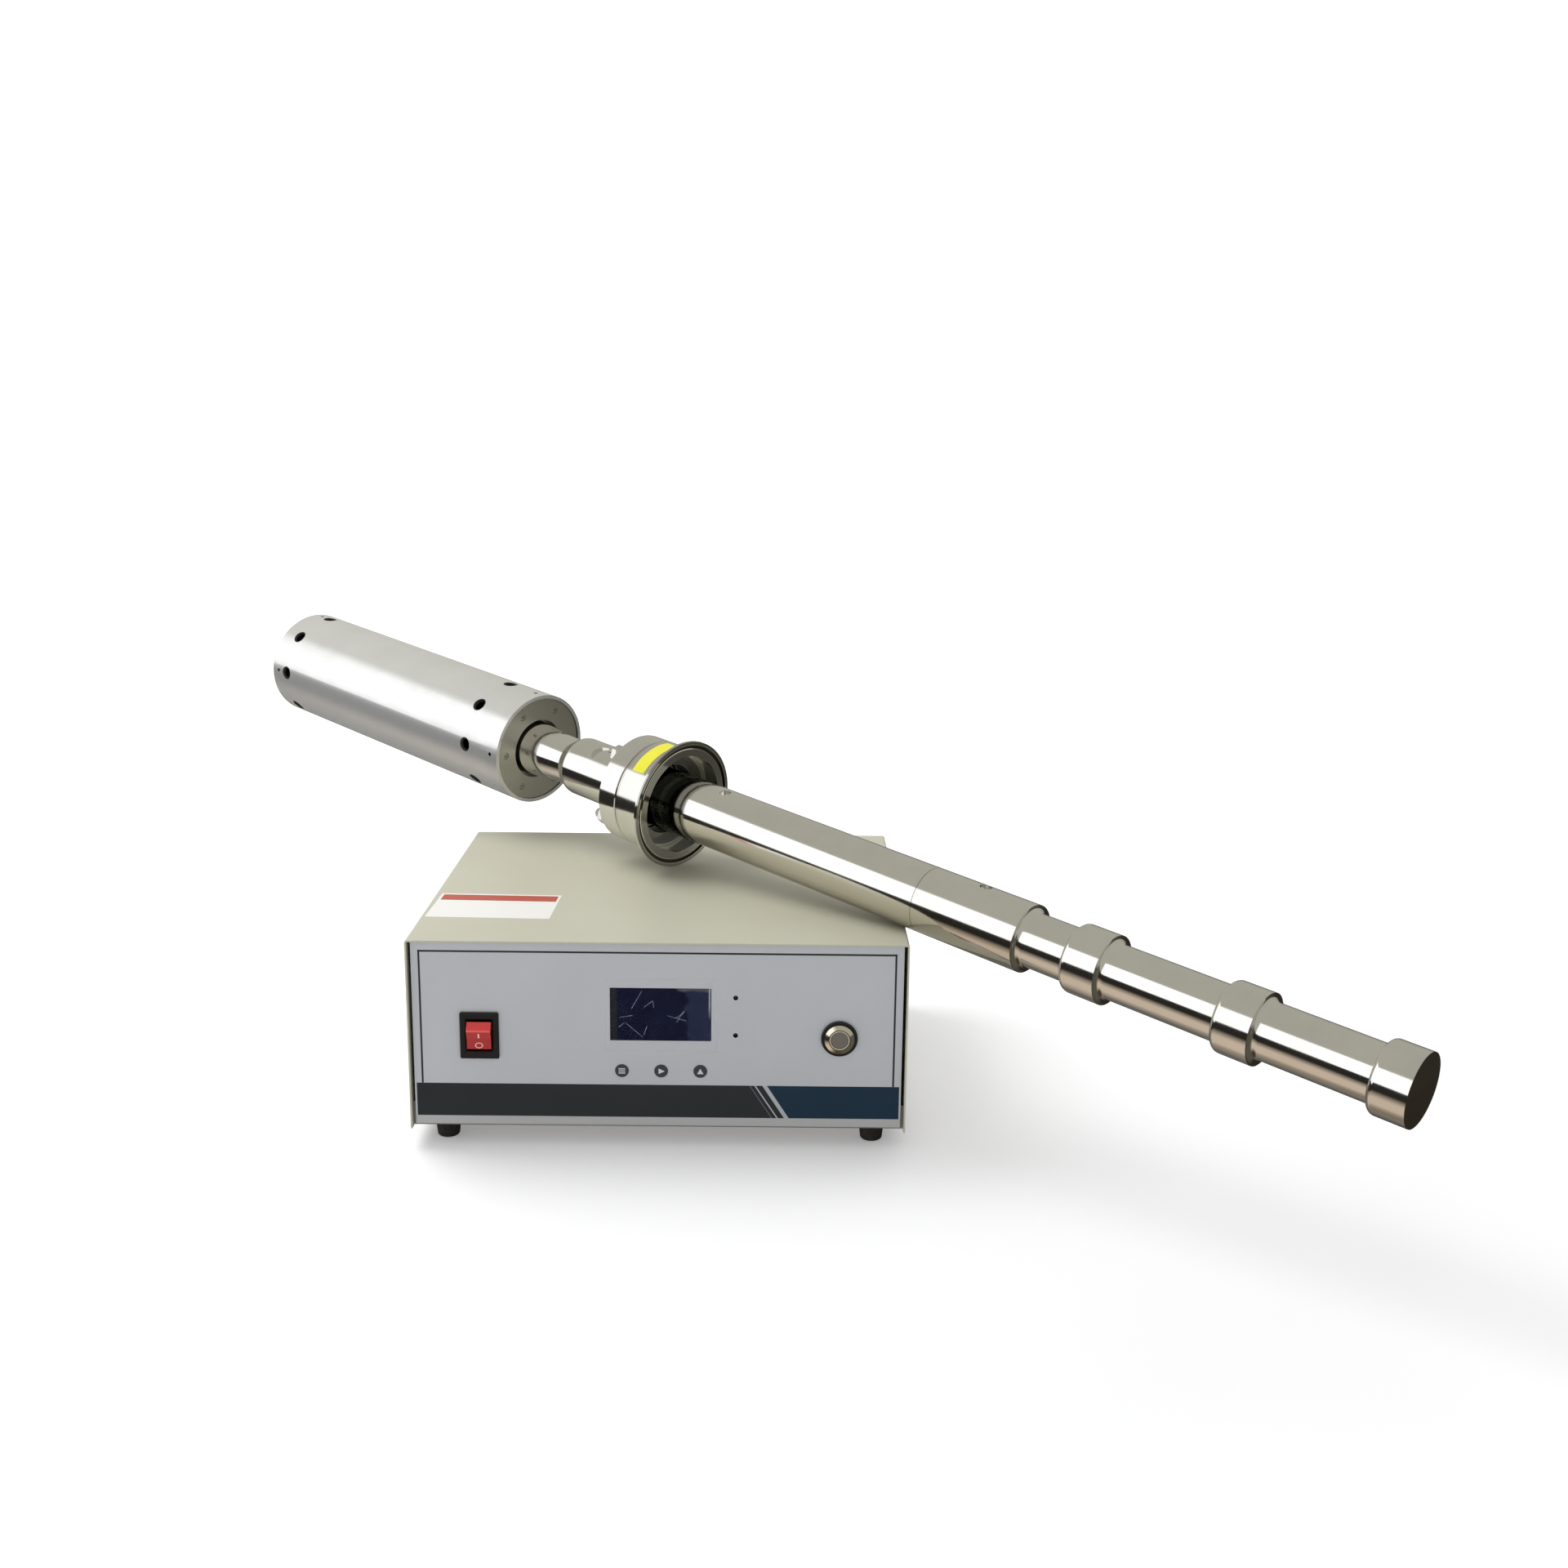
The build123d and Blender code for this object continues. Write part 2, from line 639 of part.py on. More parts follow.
# Control board: a frame round the display module, with a small switch behind each key.
CONTROL_Y = BEHIND_Y + CONTROL_BACK
with BuildPart() as control_board:
    with BuildSketch(facing_front(CONTROL_X, CONTROL_Y, CONTROL_DROP)):
        Rectangle(CONTROL_W, CONTROL_H)
        with Locations((WINDOW_X - CONTROL_X, CONTROL_DROP - WINDOW_DROP)):
            Rectangle(MODULE_BOARD_W + 2 * MODULE_CLEAR, MODULE_BOARD_H + 2 * MODULE_CLEAR,
                      mode=Mode.SUBTRACT)
    extrude(amount=-BOARD_T)
    with BuildSketch(facing_front(0, CONTROL_Y, KEY_DROP)):
        with Locations(*[(x, 0) for x in KEY_XS]):
            Rectangle(TACT_SIDE, TACT_SIDE)
    extrude(amount=CONTROL_BACK - KEY_COLLAR_T - KEY_STEM_L - 2 * KEY_TRAVEL)
save(control_board, "control_board")

with BuildPart() as board_standoffs:
    with BuildSketch(facing_front(CONTROL_X, BEHIND_Y, CONTROL_DROP)):
        with GridLocations(CONTROL_W - 2 * STANDOFF_INSET, CONTROL_H - 2 * STANDOFF_INSET, 2, 2):
            RegularPolygon(STANDOFF_R, 6)
    extrude(amount=-CONTROL_BACK)
    with BuildSketch(level(MAIN_BOARD_X, MAIN_BOARD_BACK, FLOOR_Z)):
        with GridLocations(MAIN_BOARD_W - 2 * STANDOFF_INSET, MAIN_BOARD_D - 2 * STANDOFF_INSET, 2, 2):
            RegularPolygon(STANDOFF_R, 6)
    extrude(amount=MAIN_BOARD_UP)
save(board_standoffs, "board_standoffs")

# Indicator lamps: 3 mm lenses standing on the control board, sunk in their holes.
LAMP_L = CONTROL_BACK + PANEL_T + FILM_T - LAMP_SINK
with BuildPart() as indicator_lamps:
    for drop in LAMP_DROPS:
        lamp_foot = (CASE_X + LAMP_X, CONTROL_Y, TOP_Z - drop)
        with BuildSketch(Plane(origin=lamp_foot, x_dir=(0, -1, 0), z_dir=(1, 0, 0))):
            with BuildLine():
                Line((0, 0), (0, LAMP_BASE_R))
                Line((0, LAMP_BASE_R), (LAMP_BASE_R, LAMP_BASE_R))
                Line((LAMP_BASE_R, LAMP_BASE_R), (LAMP_BASE_R, LAMP_R))
                Line((LAMP_BASE_R, LAMP_R), (LAMP_L - LAMP_R, LAMP_R))
                RadiusArc((LAMP_L - LAMP_R, LAMP_R), (LAMP_L, 0), LAMP_R)
                Line((LAMP_L, 0), (0, 0))
            make_face()
        revolve(axis=Axis(lamp_foot, (0, -1, 0)))
save(indicator_lamps, "indicator_lamps")

# Keys: low round caps that slide in the panel, each with a collar that stops it from behind.
for key_x, key_name in zip(KEY_XS, KEY_NAMES):
    with BuildPart() as key_cap:
        with BuildSketch(facing_front(key_x, BEHIND_Y, KEY_DROP)):
            Circle(KEY_R)
        extrude(amount=PANEL_T + FILM_T + KEY_PROUD)
        fillet(key_cap.edges().group_by(Axis.Y)[0], KEY_PROUD / 2)
        with BuildSketch(facing_front(key_x, BEHIND_Y, KEY_DROP)):
            Circle(KEY_COLLAR_R)
        extrude(amount=-KEY_COLLAR_T)
        with BuildSketch(facing_front(key_x, BEHIND_Y + KEY_COLLAR_T, KEY_DROP)):
            Circle(KEY_STEM_R)
        extrude(amount=-KEY_STEM_L)
    save(key_cap, key_name)

# Rocker switch: a body through the panel with a bezel over its edge and a well for the rocker.
SWITCH_FACE_Y = FILM_Y - BEZEL_PROUD
PIVOT = Vector(CASE_X + SWITCH_X, SWITCH_FACE_Y + ROCKER_PIVOT_DEPTH, TOP_Z - SWITCH_DROP)
with BuildPart() as switch_body:
    with BuildSketch(facing_front(SWITCH_X, FILM_Y, SWITCH_DROP)):
        RectangleRounded(BEZEL_W, BEZEL_H, BEZEL_R)
    extrude(amount=BEZEL_PROUD)
    chamfer(switch_body.faces().sort_by(Axis.Y)[0].edges(), BEZEL_EDGE)
    with BuildSketch(facing_front(SWITCH_X, FILM_Y, SWITCH_DROP)):
        Rectangle(SWITCH_BODY_W, SWITCH_BODY_H)
    extrude(amount=-SWITCH_BODY_DEPTH)
    with BuildSketch(facing_front(SWITCH_X, SWITCH_FACE_Y, SWITCH_DROP)):
        Rectangle(SWITCH_WELL_W, SWITCH_WELL_H)
    extrude(amount=-SWITCH_WELL_DEPTH, mode=Mode.SUBTRACT)
    chamfer(switch_body.faces().sort_by(Axis.Y)[0].inner_wires()[0].edges(), SWITCH_WELL_EDGE)
    with BuildSketch(Plane(origin=PIVOT, x_dir=(0, 1, 0), z_dir=(1, 0, 0))):
        Circle(TRUNNION_R + PIN_GAP)
    extrude(amount=ROCKER_W / 2 + TRUNNION_L + SLIDE_GAP, both=True, mode=Mode.SUBTRACT)
save(switch_body, "switch_body")

# Rocker: shown with its O end pressed in, so its profile is turned by its swing from level.
ROCKER_LEFT = PIVOT - Vector(ROCKER_W / 2, 0, 0)
with BuildPart() as rocker:
    with BuildSketch(Plane(origin=ROCKER_LEFT, x_dir=(0, 0, 1), z_dir=(1, 0, 0))) as rocker_side:
        with BuildLine():
            Polyline((-ROCKER_BASE_HALF, ROCKER_BASE_OUT), (-ROCKER_TIP_HALF, ROCKER_TIP_OUT),
                     (0, ROCKER_WAIST_OUT), (ROCKER_TIP_HALF, ROCKER_TIP_OUT),
                     (ROCKER_BASE_HALF, ROCKER_BASE_OUT), (ROCKER_HEEL_HALF, ROCKER_HEEL_OUT),
                     (-ROCKER_HEEL_HALF, ROCKER_HEEL_OUT), close=True)
        make_face()
        fillet([v for v in rocker_side.vertices() if abs(abs(v.X) - ROCKER_TIP_HALF) < PIN_GAP], ROCKER_ROUND)
    extrude(amount=ROCKER_W)
    with BuildSketch(Plane(origin=PIVOT, x_dir=(0, 1, 0), z_dir=(1, 0, 0))):
        Circle(TRUNNION_R)
    extrude(amount=ROCKER_W / 2 + TRUNNION_L, both=True)
rocker.part = rocker.part.rotate(Axis(PIVOT, (1, 0, 0)), ROCKER_SWING)
save(rocker, "rocker")

# Start button: a black trim ring, a chromed head with its barrel, a nut behind, and the plunger.
HEAD_Y = FILM_Y - TRIM_T
START_AXIS = Axis((CASE_X + START_X, FILM_Y, TOP_Z - START_DROP), (0, 1, 0))
START_PLANE = Plane(origin=(CASE_X + START_X, HEAD_Y, TOP_Z - START_DROP), x_dir=(0, 1, 0), z_dir=(1, 0, 0))
with BuildPart() as start_trim:
    with BuildSketch(facing_front(START_X, FILM_Y, START_DROP)):
        Circle(TRIM_R)
        Circle(BARREL_R + SLIDE_GAP, mode=Mode.SUBTRACT)
    extrude(amount=TRIM_T)
    fillet(start_trim.edges().group_by(Axis.Y)[0].sort_by(SortBy.LENGTH)[-1], TRIM_ROUND)
save(start_trim, "start_trim")

PLUNGER_BORE_R = PLUNGER_R + SLIDE_GAP
COLLAR_BORE = PLUNGER_COLLAR_R + SLIDE_GAP
LIP_BACK = -HEAD_H + PLUNGER_SINK + PLUNGER_L - PLUNGER_COLLAR_T
BARREL_FLOOR = LIP_BACK + PLUNGER_COLLAR_T + 2 * PLUNGER_TRAVEL
BARREL_BACK = TRIM_T + BARREL_L
with BuildPart() as start_head:
    with BuildSketch(START_PLANE):
        with BuildLine():
            Polyline((0, BARREL_R), (0, HEAD_R), (-HEAD_EDGE_H, HEAD_R), (-HEAD_H, HEAD_FACE_R),
                     (-HEAD_H, PLUNGER_BORE_R), (LIP_BACK, PLUNGER_BORE_R), (LIP_BACK, COLLAR_BORE),
                     (BARREL_FLOOR, COLLAR_BORE), (BARREL_FLOOR, 0),
                     (BARREL_BACK, 0), (BARREL_BACK, BARREL_R), close=True)
        make_face()
    revolve(axis=START_AXIS)
save(start_head, "start_head")

with BuildPart() as start_nut:
    with BuildSketch(facing_front(START_X, BEHIND_Y, START_DROP)):
        RegularPolygon(NUT_FLATS / 2, 6, major_radius=False)
        Circle(BARREL_R + THREAD_GAP, mode=Mode.SUBTRACT)
    extrude(amount=-NUT_T)
save(start_nut, "start_nut")

with BuildPart() as start_plunger:
    with BuildSketch(START_PLANE):
        with BuildLine():
            Polyline((-HEAD_H + PLUNGER_SINK, 0), (-HEAD_H + PLUNGER_SINK, PLUNGER_R),
                     (LIP_BACK, PLUNGER_R), (LIP_BACK, PLUNGER_COLLAR_R),
                     (LIP_BACK + PLUNGER_COLLAR_T, PLUNGER_COLLAR_R),
                     (LIP_BACK + PLUNGER_COLLAR_T, 0), close=True)
        make_face()
    revolve(axis=START_AXIS)
    chamfer(start_plunger.edges().group_by(Axis.Y)[0], PLUNGER_SINK)
save(start_plunger, "start_plunger")

# Blank stick-on label on the cover.
with BuildPart() as cover_label:
    with BuildSketch(level(LABEL_X, LABEL_BACK, TOP_Z)):
        Rectangle(LABEL_W, LABEL_D, rotation=LABEL_TURN)
    extrude(amount=LABEL_T)
save(cover_label, "cover_label")

# Back panel: steel, between the pan's rear wall and the cover's edge.
BACK_DROP = (COVER_H - PAN_LIFT + SHEET + BACK_PANEL_GAP) / 2
with BuildPart() as back_panel:
    with BuildSketch(facing_back(0, BACK_Y, BACK_DROP)):
        Rectangle(INNER_W - 2 * BACK_PANEL_GAP, COVER_H - PAN_LIFT - SHEET - BACK_PANEL_GAP)
        with Locations((-FAN_X, BACK_DROP - FAN_DROP)):
            Circle(FAN_BORE_R, mode=Mode.SUBTRACT)
            with GridLocations(FAN_HOLE_PITCH, FAN_HOLE_PITCH, 2, 2):
                Circle(FAN_HOLE_R, mode=Mode.SUBTRACT)
        with Locations((-INLET_X, BACK_DROP - INLET_DROP)):
            Rectangle(INLET_BODY_W + 2 * SLIDE_GAP, INLET_BODY_H + 2 * SLIDE_GAP, mode=Mode.SUBTRACT)
            with GridLocations(INLET_SCREW_PITCH, 1, 2, 1):
                Circle(CONNECTOR_SCREW_R + THREAD_GAP, mode=Mode.SUBTRACT)
        with Locations((-FUSE_X, BACK_DROP - FUSE_DROP)):
            Circle(FUSE_BODY_R + SLIDE_GAP, mode=Mode.SUBTRACT)
        with Locations((-OUTPUT_X, BACK_DROP - OUTPUT_DROP)):
            Circle(OUTPUT_BARREL_R - OUTPUT_WALL + SLIDE_GAP, mode=Mode.SUBTRACT)
            with GridLocations(OUTPUT_HOLE_PITCH, OUTPUT_HOLE_PITCH, 2, 2):
                Circle(CONNECTOR_SCREW_R + THREAD_GAP, mode=Mode.SUBTRACT)
    extrude(amount=-SHEET)
save(back_panel, "back_panel")

# Cooling fan: a square frame, its bearing on four spokes, and a rotor with twisted blades.
FAN_FRONT_Y = BACK_INSIDE_Y - FAN_T
with BuildPart() as fan_frame:
    with BuildSketch(facing_back(FAN_X, BACK_INSIDE_Y, FAN_DROP)):
        RectangleRounded(FAN_SIDE, FAN_SIDE, FAN_CORNER_R)
        Circle(FAN_BORE_R, mode=Mode.SUBTRACT)
        with GridLocations(FAN_HOLE_PITCH, FAN_HOLE_PITCH, 2, 2):
            Circle(FAN_HOLE_R, mode=Mode.SUBTRACT)
    extrude(amount=-FAN_T)
    with BuildSketch(facing_back(FAN_X, FAN_FRONT_Y, FAN_DROP)):
        for turn in (45, 135):
            Rectangle(2 * FAN_BORE_R + FAN_SPOKE_T, FAN_SPOKE_W, rotation=turn)
    extrude(amount=FAN_SPOKE_T)
    with BuildSketch(facing_back(FAN_X, FAN_FRONT_Y, FAN_DROP)):
        Circle(FAN_BEARING_R)
    extrude(amount=FAN_BEARING_T)
    with BuildSketch(facing_back(FAN_X, FAN_FRONT_Y + FAN_BEARING_T, FAN_DROP)):
        Circle(FAN_SHAFT_R + PIN_GAP)
    extrude(amount=-FAN_SHAFT_L - SLIDE_GAP, mode=Mode.SUBTRACT)
save(fan_frame, "fan_frame")

ROTOR_Y = FAN_FRONT_Y + FAN_BEARING_T + REST_GAP
with BuildPart() as fan_rotor:
    with BuildSketch(facing_back(FAN_X, ROTOR_Y, FAN_DROP)):
        Circle(FAN_HUB_R)
    extrude(amount=FAN_HUB_L)
    with BuildSketch(facing_back(FAN_X, ROTOR_Y, FAN_DROP)):
        Circle(FAN_SHAFT_R)
    extrude(amount=-FAN_SHAFT_L)
    blade_middle = Vector(CASE_X + FAN_X, ROTOR_Y + FAN_HUB_L / 2, TOP_Z - FAN_DROP)
    for count in range(FAN_BLADES):
        spin = radians(FULL_TURN * count / FAN_BLADES)
        outward = Vector(cos(spin), 0, sin(spin))
        blade_root = blade_middle + outward * (FAN_HUB_R - FAN_BLADE_ROOT)
        blade_end = blade_middle + outward * (FAN_BORE_R - FAN_TIP_GAP)
        with BuildSketch(Plane(origin=blade_root, x_dir=(0, 1, 0), z_dir=outward)) as root:
            Rectangle(FAN_ROOT_CHORD, FAN_BLADE_T, rotation=FAN_ROOT_PITCH)
        with BuildSketch(Plane(origin=blade_end, x_dir=(0, 1, 0), z_dir=outward)) as blade_tip:
            Rectangle(FAN_TIP_CHORD, FAN_BLADE_T, rotation=FAN_TIP_PITCH)
        loft(sections=[root.sketch, blade_tip.sketch], ruled=True)
save(fan_rotor, "fan_rotor")

# Finger guard and the long screws that hold it and the fan to the back panel.
with BuildPart() as fan_guard:
    for ring in GUARD_RINGS:
        with BuildSketch(facing_back(FAN_X, BACK_Y, FAN_DROP)):
            Circle(ring + GUARD_WIRE / 2)
            Circle(ring - GUARD_WIRE / 2, mode=Mode.SUBTRACT)
        extrude(amount=GUARD_T)
    with BuildSketch(facing_back(FAN_X, BACK_Y, FAN_DROP)):
        for turn in (45, 135):
            Rectangle(FAN_HOLE_PITCH * sqrt(2), GUARD_WIRE, rotation=turn)
        with GridLocations(FAN_HOLE_PITCH, FAN_HOLE_PITCH, 2, 2):
            Circle(FAN_SCREW_HEAD_R)
            Circle(FAN_HOLE_R, mode=Mode.SUBTRACT)
    extrude(amount=GUARD_T)
save(fan_guard, "fan_guard")

with BuildPart() as fan_screws:
    with BuildSketch(facing_back(FAN_X, BACK_Y + GUARD_T, FAN_DROP)):
        with GridLocations(FAN_HOLE_PITCH, FAN_HOLE_PITCH, 2, 2):
            Circle(FAN_SCREW_HEAD_R)
    extrude(amount=FAN_SCREW_HEAD_H)
    with BuildSketch(facing_back(FAN_X, BACK_Y + GUARD_T, FAN_DROP)):
        with GridLocations(FAN_HOLE_PITCH, FAN_HOLE_PITCH, 2, 2):
            Circle(FAN_SCREW_R)
    extrude(amount=-FAN_T - SHEET - GUARD_T)
save(fan_screws, "fan_screws")

# Mains inlet: a three-prong appliance inlet held by two screws.
with BuildPart() as mains_inlet:
    with BuildSketch(facing_back(INLET_X, BACK_Y, INLET_DROP)):
        RectangleRounded(INLET_PLATE_W, INLET_PLATE_H, INLET_CORNER_R)
        with GridLocations(INLET_SCREW_PITCH, 1, 2, 1):
            Circle(CONNECTOR_SCREW_R + THREAD_GAP, mode=Mode.SUBTRACT)
    extrude(amount=CONNECTOR_PLATE_T)
    with BuildSketch(facing_back(INLET_X, BACK_Y, INLET_DROP)):
        Rectangle(INLET_BODY_W, INLET_BODY_H)
    extrude(amount=-INLET_BODY_DEPTH)
    with BuildSketch(facing_back(INLET_X, BACK_Y + CONNECTOR_PLATE_T, INLET_DROP)) as inlet_well:
        Rectangle(INLET_WELL_W, INLET_WELL_H)
        chamfer(inlet_well.vertices().group_by(Axis.Y)[-1], INLET_WELL_CUT)
    extrude(amount=-INLET_WELL_DEPTH, mode=Mode.SUBTRACT)
save(mains_inlet, "mains_inlet")

with BuildPart() as inlet_prongs:
    with BuildSketch(facing_back(INLET_X, BACK_Y + CONNECTOR_PLATE_T - INLET_WELL_DEPTH, INLET_DROP)):
        with Locations((-PRONG_PITCH, -PRONG_RISE / 2), (PRONG_PITCH, -PRONG_RISE / 2), (0, PRONG_RISE / 2)):
            Rectangle(PRONG_W, PRONG_H)
    extrude(amount=PRONG_L)
save(inlet_prongs, "inlet_prongs")

# Fuse holder: a slotted cap on a threaded body.
with BuildPart() as fuse_holder:
    with BuildSketch(facing_back(FUSE_X, BACK_Y, FUSE_DROP)):
        Circle(FUSE_CAP_R)
    extrude(amount=FUSE_CAP_L)
    chamfer(fuse_holder.edges().group_by(Axis.Y)[-1], FUSE_CAP_EDGE)
    with BuildSketch(facing_back(FUSE_X, BACK_Y + FUSE_CAP_L, FUSE_DROP)):
        Rectangle(2 * FUSE_CAP_R, FUSE_SLOT_W)
    extrude(amount=-FUSE_SLOT_W, mode=Mode.SUBTRACT)
    with BuildSketch(facing_back(FUSE_X, BACK_Y, FUSE_DROP)):
        Circle(FUSE_BODY_R)
    extrude(amount=-FUSE_BODY_L)
save(fuse_holder, "fuse_holder")

# Output socket for the probe's cable: a flanged metal shell round an insulator with pins.
OUTPUT_BORE_R = OUTPUT_BARREL_R - OUTPUT_WALL
with BuildPart() as output_socket:
    with BuildSketch(facing_back(OUTPUT_X, BACK_Y, OUTPUT_DROP)):
        RectangleRounded(OUTPUT_PLATE, OUTPUT_PLATE, OUTPUT_WALL)
        Circle(OUTPUT_BORE_R, mode=Mode.SUBTRACT)
        with GridLocations(OUTPUT_HOLE_PITCH, OUTPUT_HOLE_PITCH, 2, 2):
            Circle(CONNECTOR_SCREW_R + THREAD_GAP, mode=Mode.SUBTRACT)
    extrude(amount=CONNECTOR_PLATE_T)
    with BuildSketch(facing_back(OUTPUT_X, BACK_Y, OUTPUT_DROP)):
        Circle(OUTPUT_BARREL_R)
        Circle(OUTPUT_BORE_R, mode=Mode.SUBTRACT)
    extrude(amount=CONNECTOR_PLATE_T + OUTPUT_BARREL_L)
save(output_socket, "output_socket")

OUTPUT_FACE_Y = BACK_Y + CONNECTOR_PLATE_T + OUTPUT_BARREL_L - OUTPUT_FACE_SINK
with BuildPart() as output_insert:
    with BuildSketch(facing_back(OUTPUT_X, OUTPUT_FACE_Y, OUTPUT_DROP)):
        Circle(OUTPUT_BORE_R - THREAD_GAP)
    extrude(amount=-OUTPUT_BARREL_L - CONNECTOR_PLATE_T - SHEET)
    with BuildSketch(facing_back(OUTPUT_X, OUTPUT_FACE_Y, OUTPUT_DROP)):
        with PolarLocations(OUTPUT_PIN_PCD / 2, OUTPUT_PINS, start_angle=45):
            Circle(OUTPUT_PIN_R)
    extrude(amount=OUTPUT_FACE_SINK - REST_GAP)
save(output_insert, "output_insert")

# Connector screws: the same small screw twice in the inlet and four times in the output socket.
with BuildPart() as connector_screws:
    for x, drop, columns, rows, pitch in ((INLET_X, INLET_DROP, 2, 1, INLET_SCREW_PITCH),
                                          (OUTPUT_X, OUTPUT_DROP, 2, 2, OUTPUT_HOLE_PITCH)):
        with BuildSketch(facing_back(x, BACK_Y + CONNECTOR_PLATE_T, drop)):
            with GridLocations(pitch, pitch, columns, rows):
                Circle(CONNECTOR_SCREW_HEAD_R)
        extrude(amount=CONNECTOR_SCREW_HEAD_H)
        with BuildSketch(facing_back(x, BACK_Y + CONNECTOR_PLATE_T, drop)):
            with GridLocations(pitch, pitch, columns, rows):
                Circle(CONNECTOR_SCREW_R)
        extrude(amount=-CONNECTOR_SCREW_L)
save(connector_screws, "connector_screws")

# Power electronics on the pan.
with BuildPart() as main_board:
    with BuildSketch(level(MAIN_BOARD_X, MAIN_BOARD_BACK, FLOOR_Z + MAIN_BOARD_UP)):
        Rectangle(MAIN_BOARD_W, MAIN_BOARD_D)
    extrude(amount=BOARD_T)
save(main_board, "main_board")

with BuildPart() as storage_capacitors:
    with BuildSketch(level(MAIN_BOARD_X, CAN_BACK, FLOOR_Z + MAIN_BOARD_UP + BOARD_T)):
        with GridLocations(CAN_PITCH, 1, CAN_COUNT, 1):
            Circle(CAN_R)
    extrude(amount=CAN_H)
    fillet(storage_capacitors.edges().group_by(Axis.Z)[-1], CAN_ROUND)
save(storage_capacitors, "storage_capacitors")

with BuildPart() as heat_sink:
    with BuildSketch(level(SINK_X, SINK_BACK, FLOOR_Z)):
        Rectangle(SINK_W, SINK_D)
    extrude(amount=SINK_BASE_T)
    with BuildSketch(level(SINK_X + SINK_LEDGE_W / 2, SINK_BACK, FLOOR_Z + SINK_BASE_T)):
        with GridLocations(FIN_PITCH, 1, FIN_COUNT, 1):
            Rectangle(FIN_T, SINK_D)
    extrude(amount=FIN_H)
save(heat_sink, "heat_sink")

with BuildPart() as power_transistors:
    with BuildSketch(level(SINK_X - (SINK_W - SINK_LEDGE_W) / 2, SINK_BACK, FLOOR_Z + SINK_BASE_T)):
        with GridLocations(1, TRANSISTOR_PITCH, 1, TRANSISTOR_COUNT):
            Rectangle(TRANSISTOR_D, TRANSISTOR_W)
    extrude(amount=TRANSISTOR_T)
save(power_transistors, "power_transistors")

with BuildPart() as toroid_transformer:
    with BuildSketch(level(TOROID_X, TOROID_BACK, FLOOR_Z)):
        Circle(TOROID_R)
        Circle(TOROID_HOLE_R, mode=Mode.SUBTRACT)
    extrude(amount=TOROID_H)
    rims = toroid_transformer.edges().filter_by(GeomType.CIRCLE)
    fillet(rims.filter_by(lambda rim: rim.radius > TOROID_HOLE_R), TOROID_ROUND)
save(toroid_transformer, "toroid_transformer")

with BuildPart() as toroid_clamp:
    with BuildSketch(level(TOROID_X, TOROID_BACK, FLOOR_Z + TOROID_H)):
        Circle(TOROID_CAP_R)
    extrude(amount=TOROID_CAP_T)
    with BuildSketch(level(TOROID_X, TOROID_BACK, FLOOR_Z)):
        Circle(TOROID_BOLT_R)
    extrude(amount=TOROID_H)
    with BuildSketch(level(TOROID_X, TOROID_BACK, FLOOR_Z + TOROID_H + TOROID_CAP_T)):
        RegularPolygon(TOROID_NUT_R, 6)
    extrude(amount=TOROID_BOLT_R)
save(toroid_clamp, "toroid_clamp")


def probe_turning(points, rounds=()):
    """A solid of revolution about the probe's axis from (station, radius) corners."""
    with BuildPart() as turned:
        with BuildSketch(along_probe()) as outline:
            with BuildLine():
                Polyline(*points, close=True)
            make_face()
            for corners, radius in rounds:
                chosen = [v for v in outline.vertices()
                          if any(abs(v.X - x) < PIN_GAP and abs(v.Y - y) < PIN_GAP for x, y in corners)]
                fillet(chosen, radius)
        revolve(axis=PROBE_AXIS)
    return turned


# Transducer housing: a tube with two rows of countersunk air holes and small side screws.
TUBE_BORE_R = HOUSING_R - HOUSING_WALL
FRONT_SCREW_AT = HOUSING_FRONT - SIDE_SCREW_IN
BACK_SCREW_AT = HOUSING_BACK + SIDE_SCREW_IN
with BuildPart() as housing_tube:
    with BuildSketch(across_probe(HOUSING_BACK)):
        Circle(HOUSING_R)
        Circle(TUBE_BORE_R, mode=Mode.SUBTRACT)
    extrude(amount=HOUSING_FRONT - HOUSING_BACK)
    for station in VENT_HOLE_STATIONS:
        for count in range(VENT_HOLES):
            with Locations(out_of_probe(station, HOUSING_R, FULL_TURN * count / VENT_HOLES)):
                CounterSinkHole(VENT_HOLE_R, VENT_HOLE_SINK_R, depth=2 * HOUSING_WALL)
    for station in (FRONT_SCREW_AT, BACK_SCREW_AT):
        for count in range(SIDE_SCREWS):
            with Locations(out_of_probe(station, HOUSING_R, FULL_TURN * count / SIDE_SCREWS)):
                Hole(SIDE_SCREW_R + THREAD_GAP, depth=2 * HOUSING_WALL)
save(housing_tube, "housing_tube")

# Front cap: set a little back in the tube, with screws into the horn's flange.
CAP_FRONT = HOUSING_FRONT - CAP_SINK
CAP_BACK = CAP_FRONT - CAP_T
with BuildPart() as front_cap:
    with BuildSketch(across_probe(CAP_BACK)):
        Circle(TUBE_BORE_R - CAP_GAP)
        Circle(CAP_BORE_R, mode=Mode.SUBTRACT)
    extrude(amount=CAP_T)
    with Locations(across_probe(CAP_FRONT)):
        with PolarLocations(CAP_SCREW_RING_R, CAP_SCREWS, start_angle=CAP_SCREW_TURN):
            CounterBoreHole(CAP_SCREW_R + THREAD_GAP, CAP_SCREW_HEAD_R + THREAD_GAP,
                            CAP_SCREW_HEAD_H + CAP_SCREW_SINK, depth=CAP_T)
    for count in range(SIDE_SCREWS):
        with Locations(out_of_probe(FRONT_SCREW_AT, TUBE_BORE_R - CAP_GAP, FULL_TURN * count / SIDE_SCREWS)):
            Hole(SIDE_SCREW_R + THREAD_GAP, depth=SIDE_SCREW_L)
save(front_cap, "front_cap")

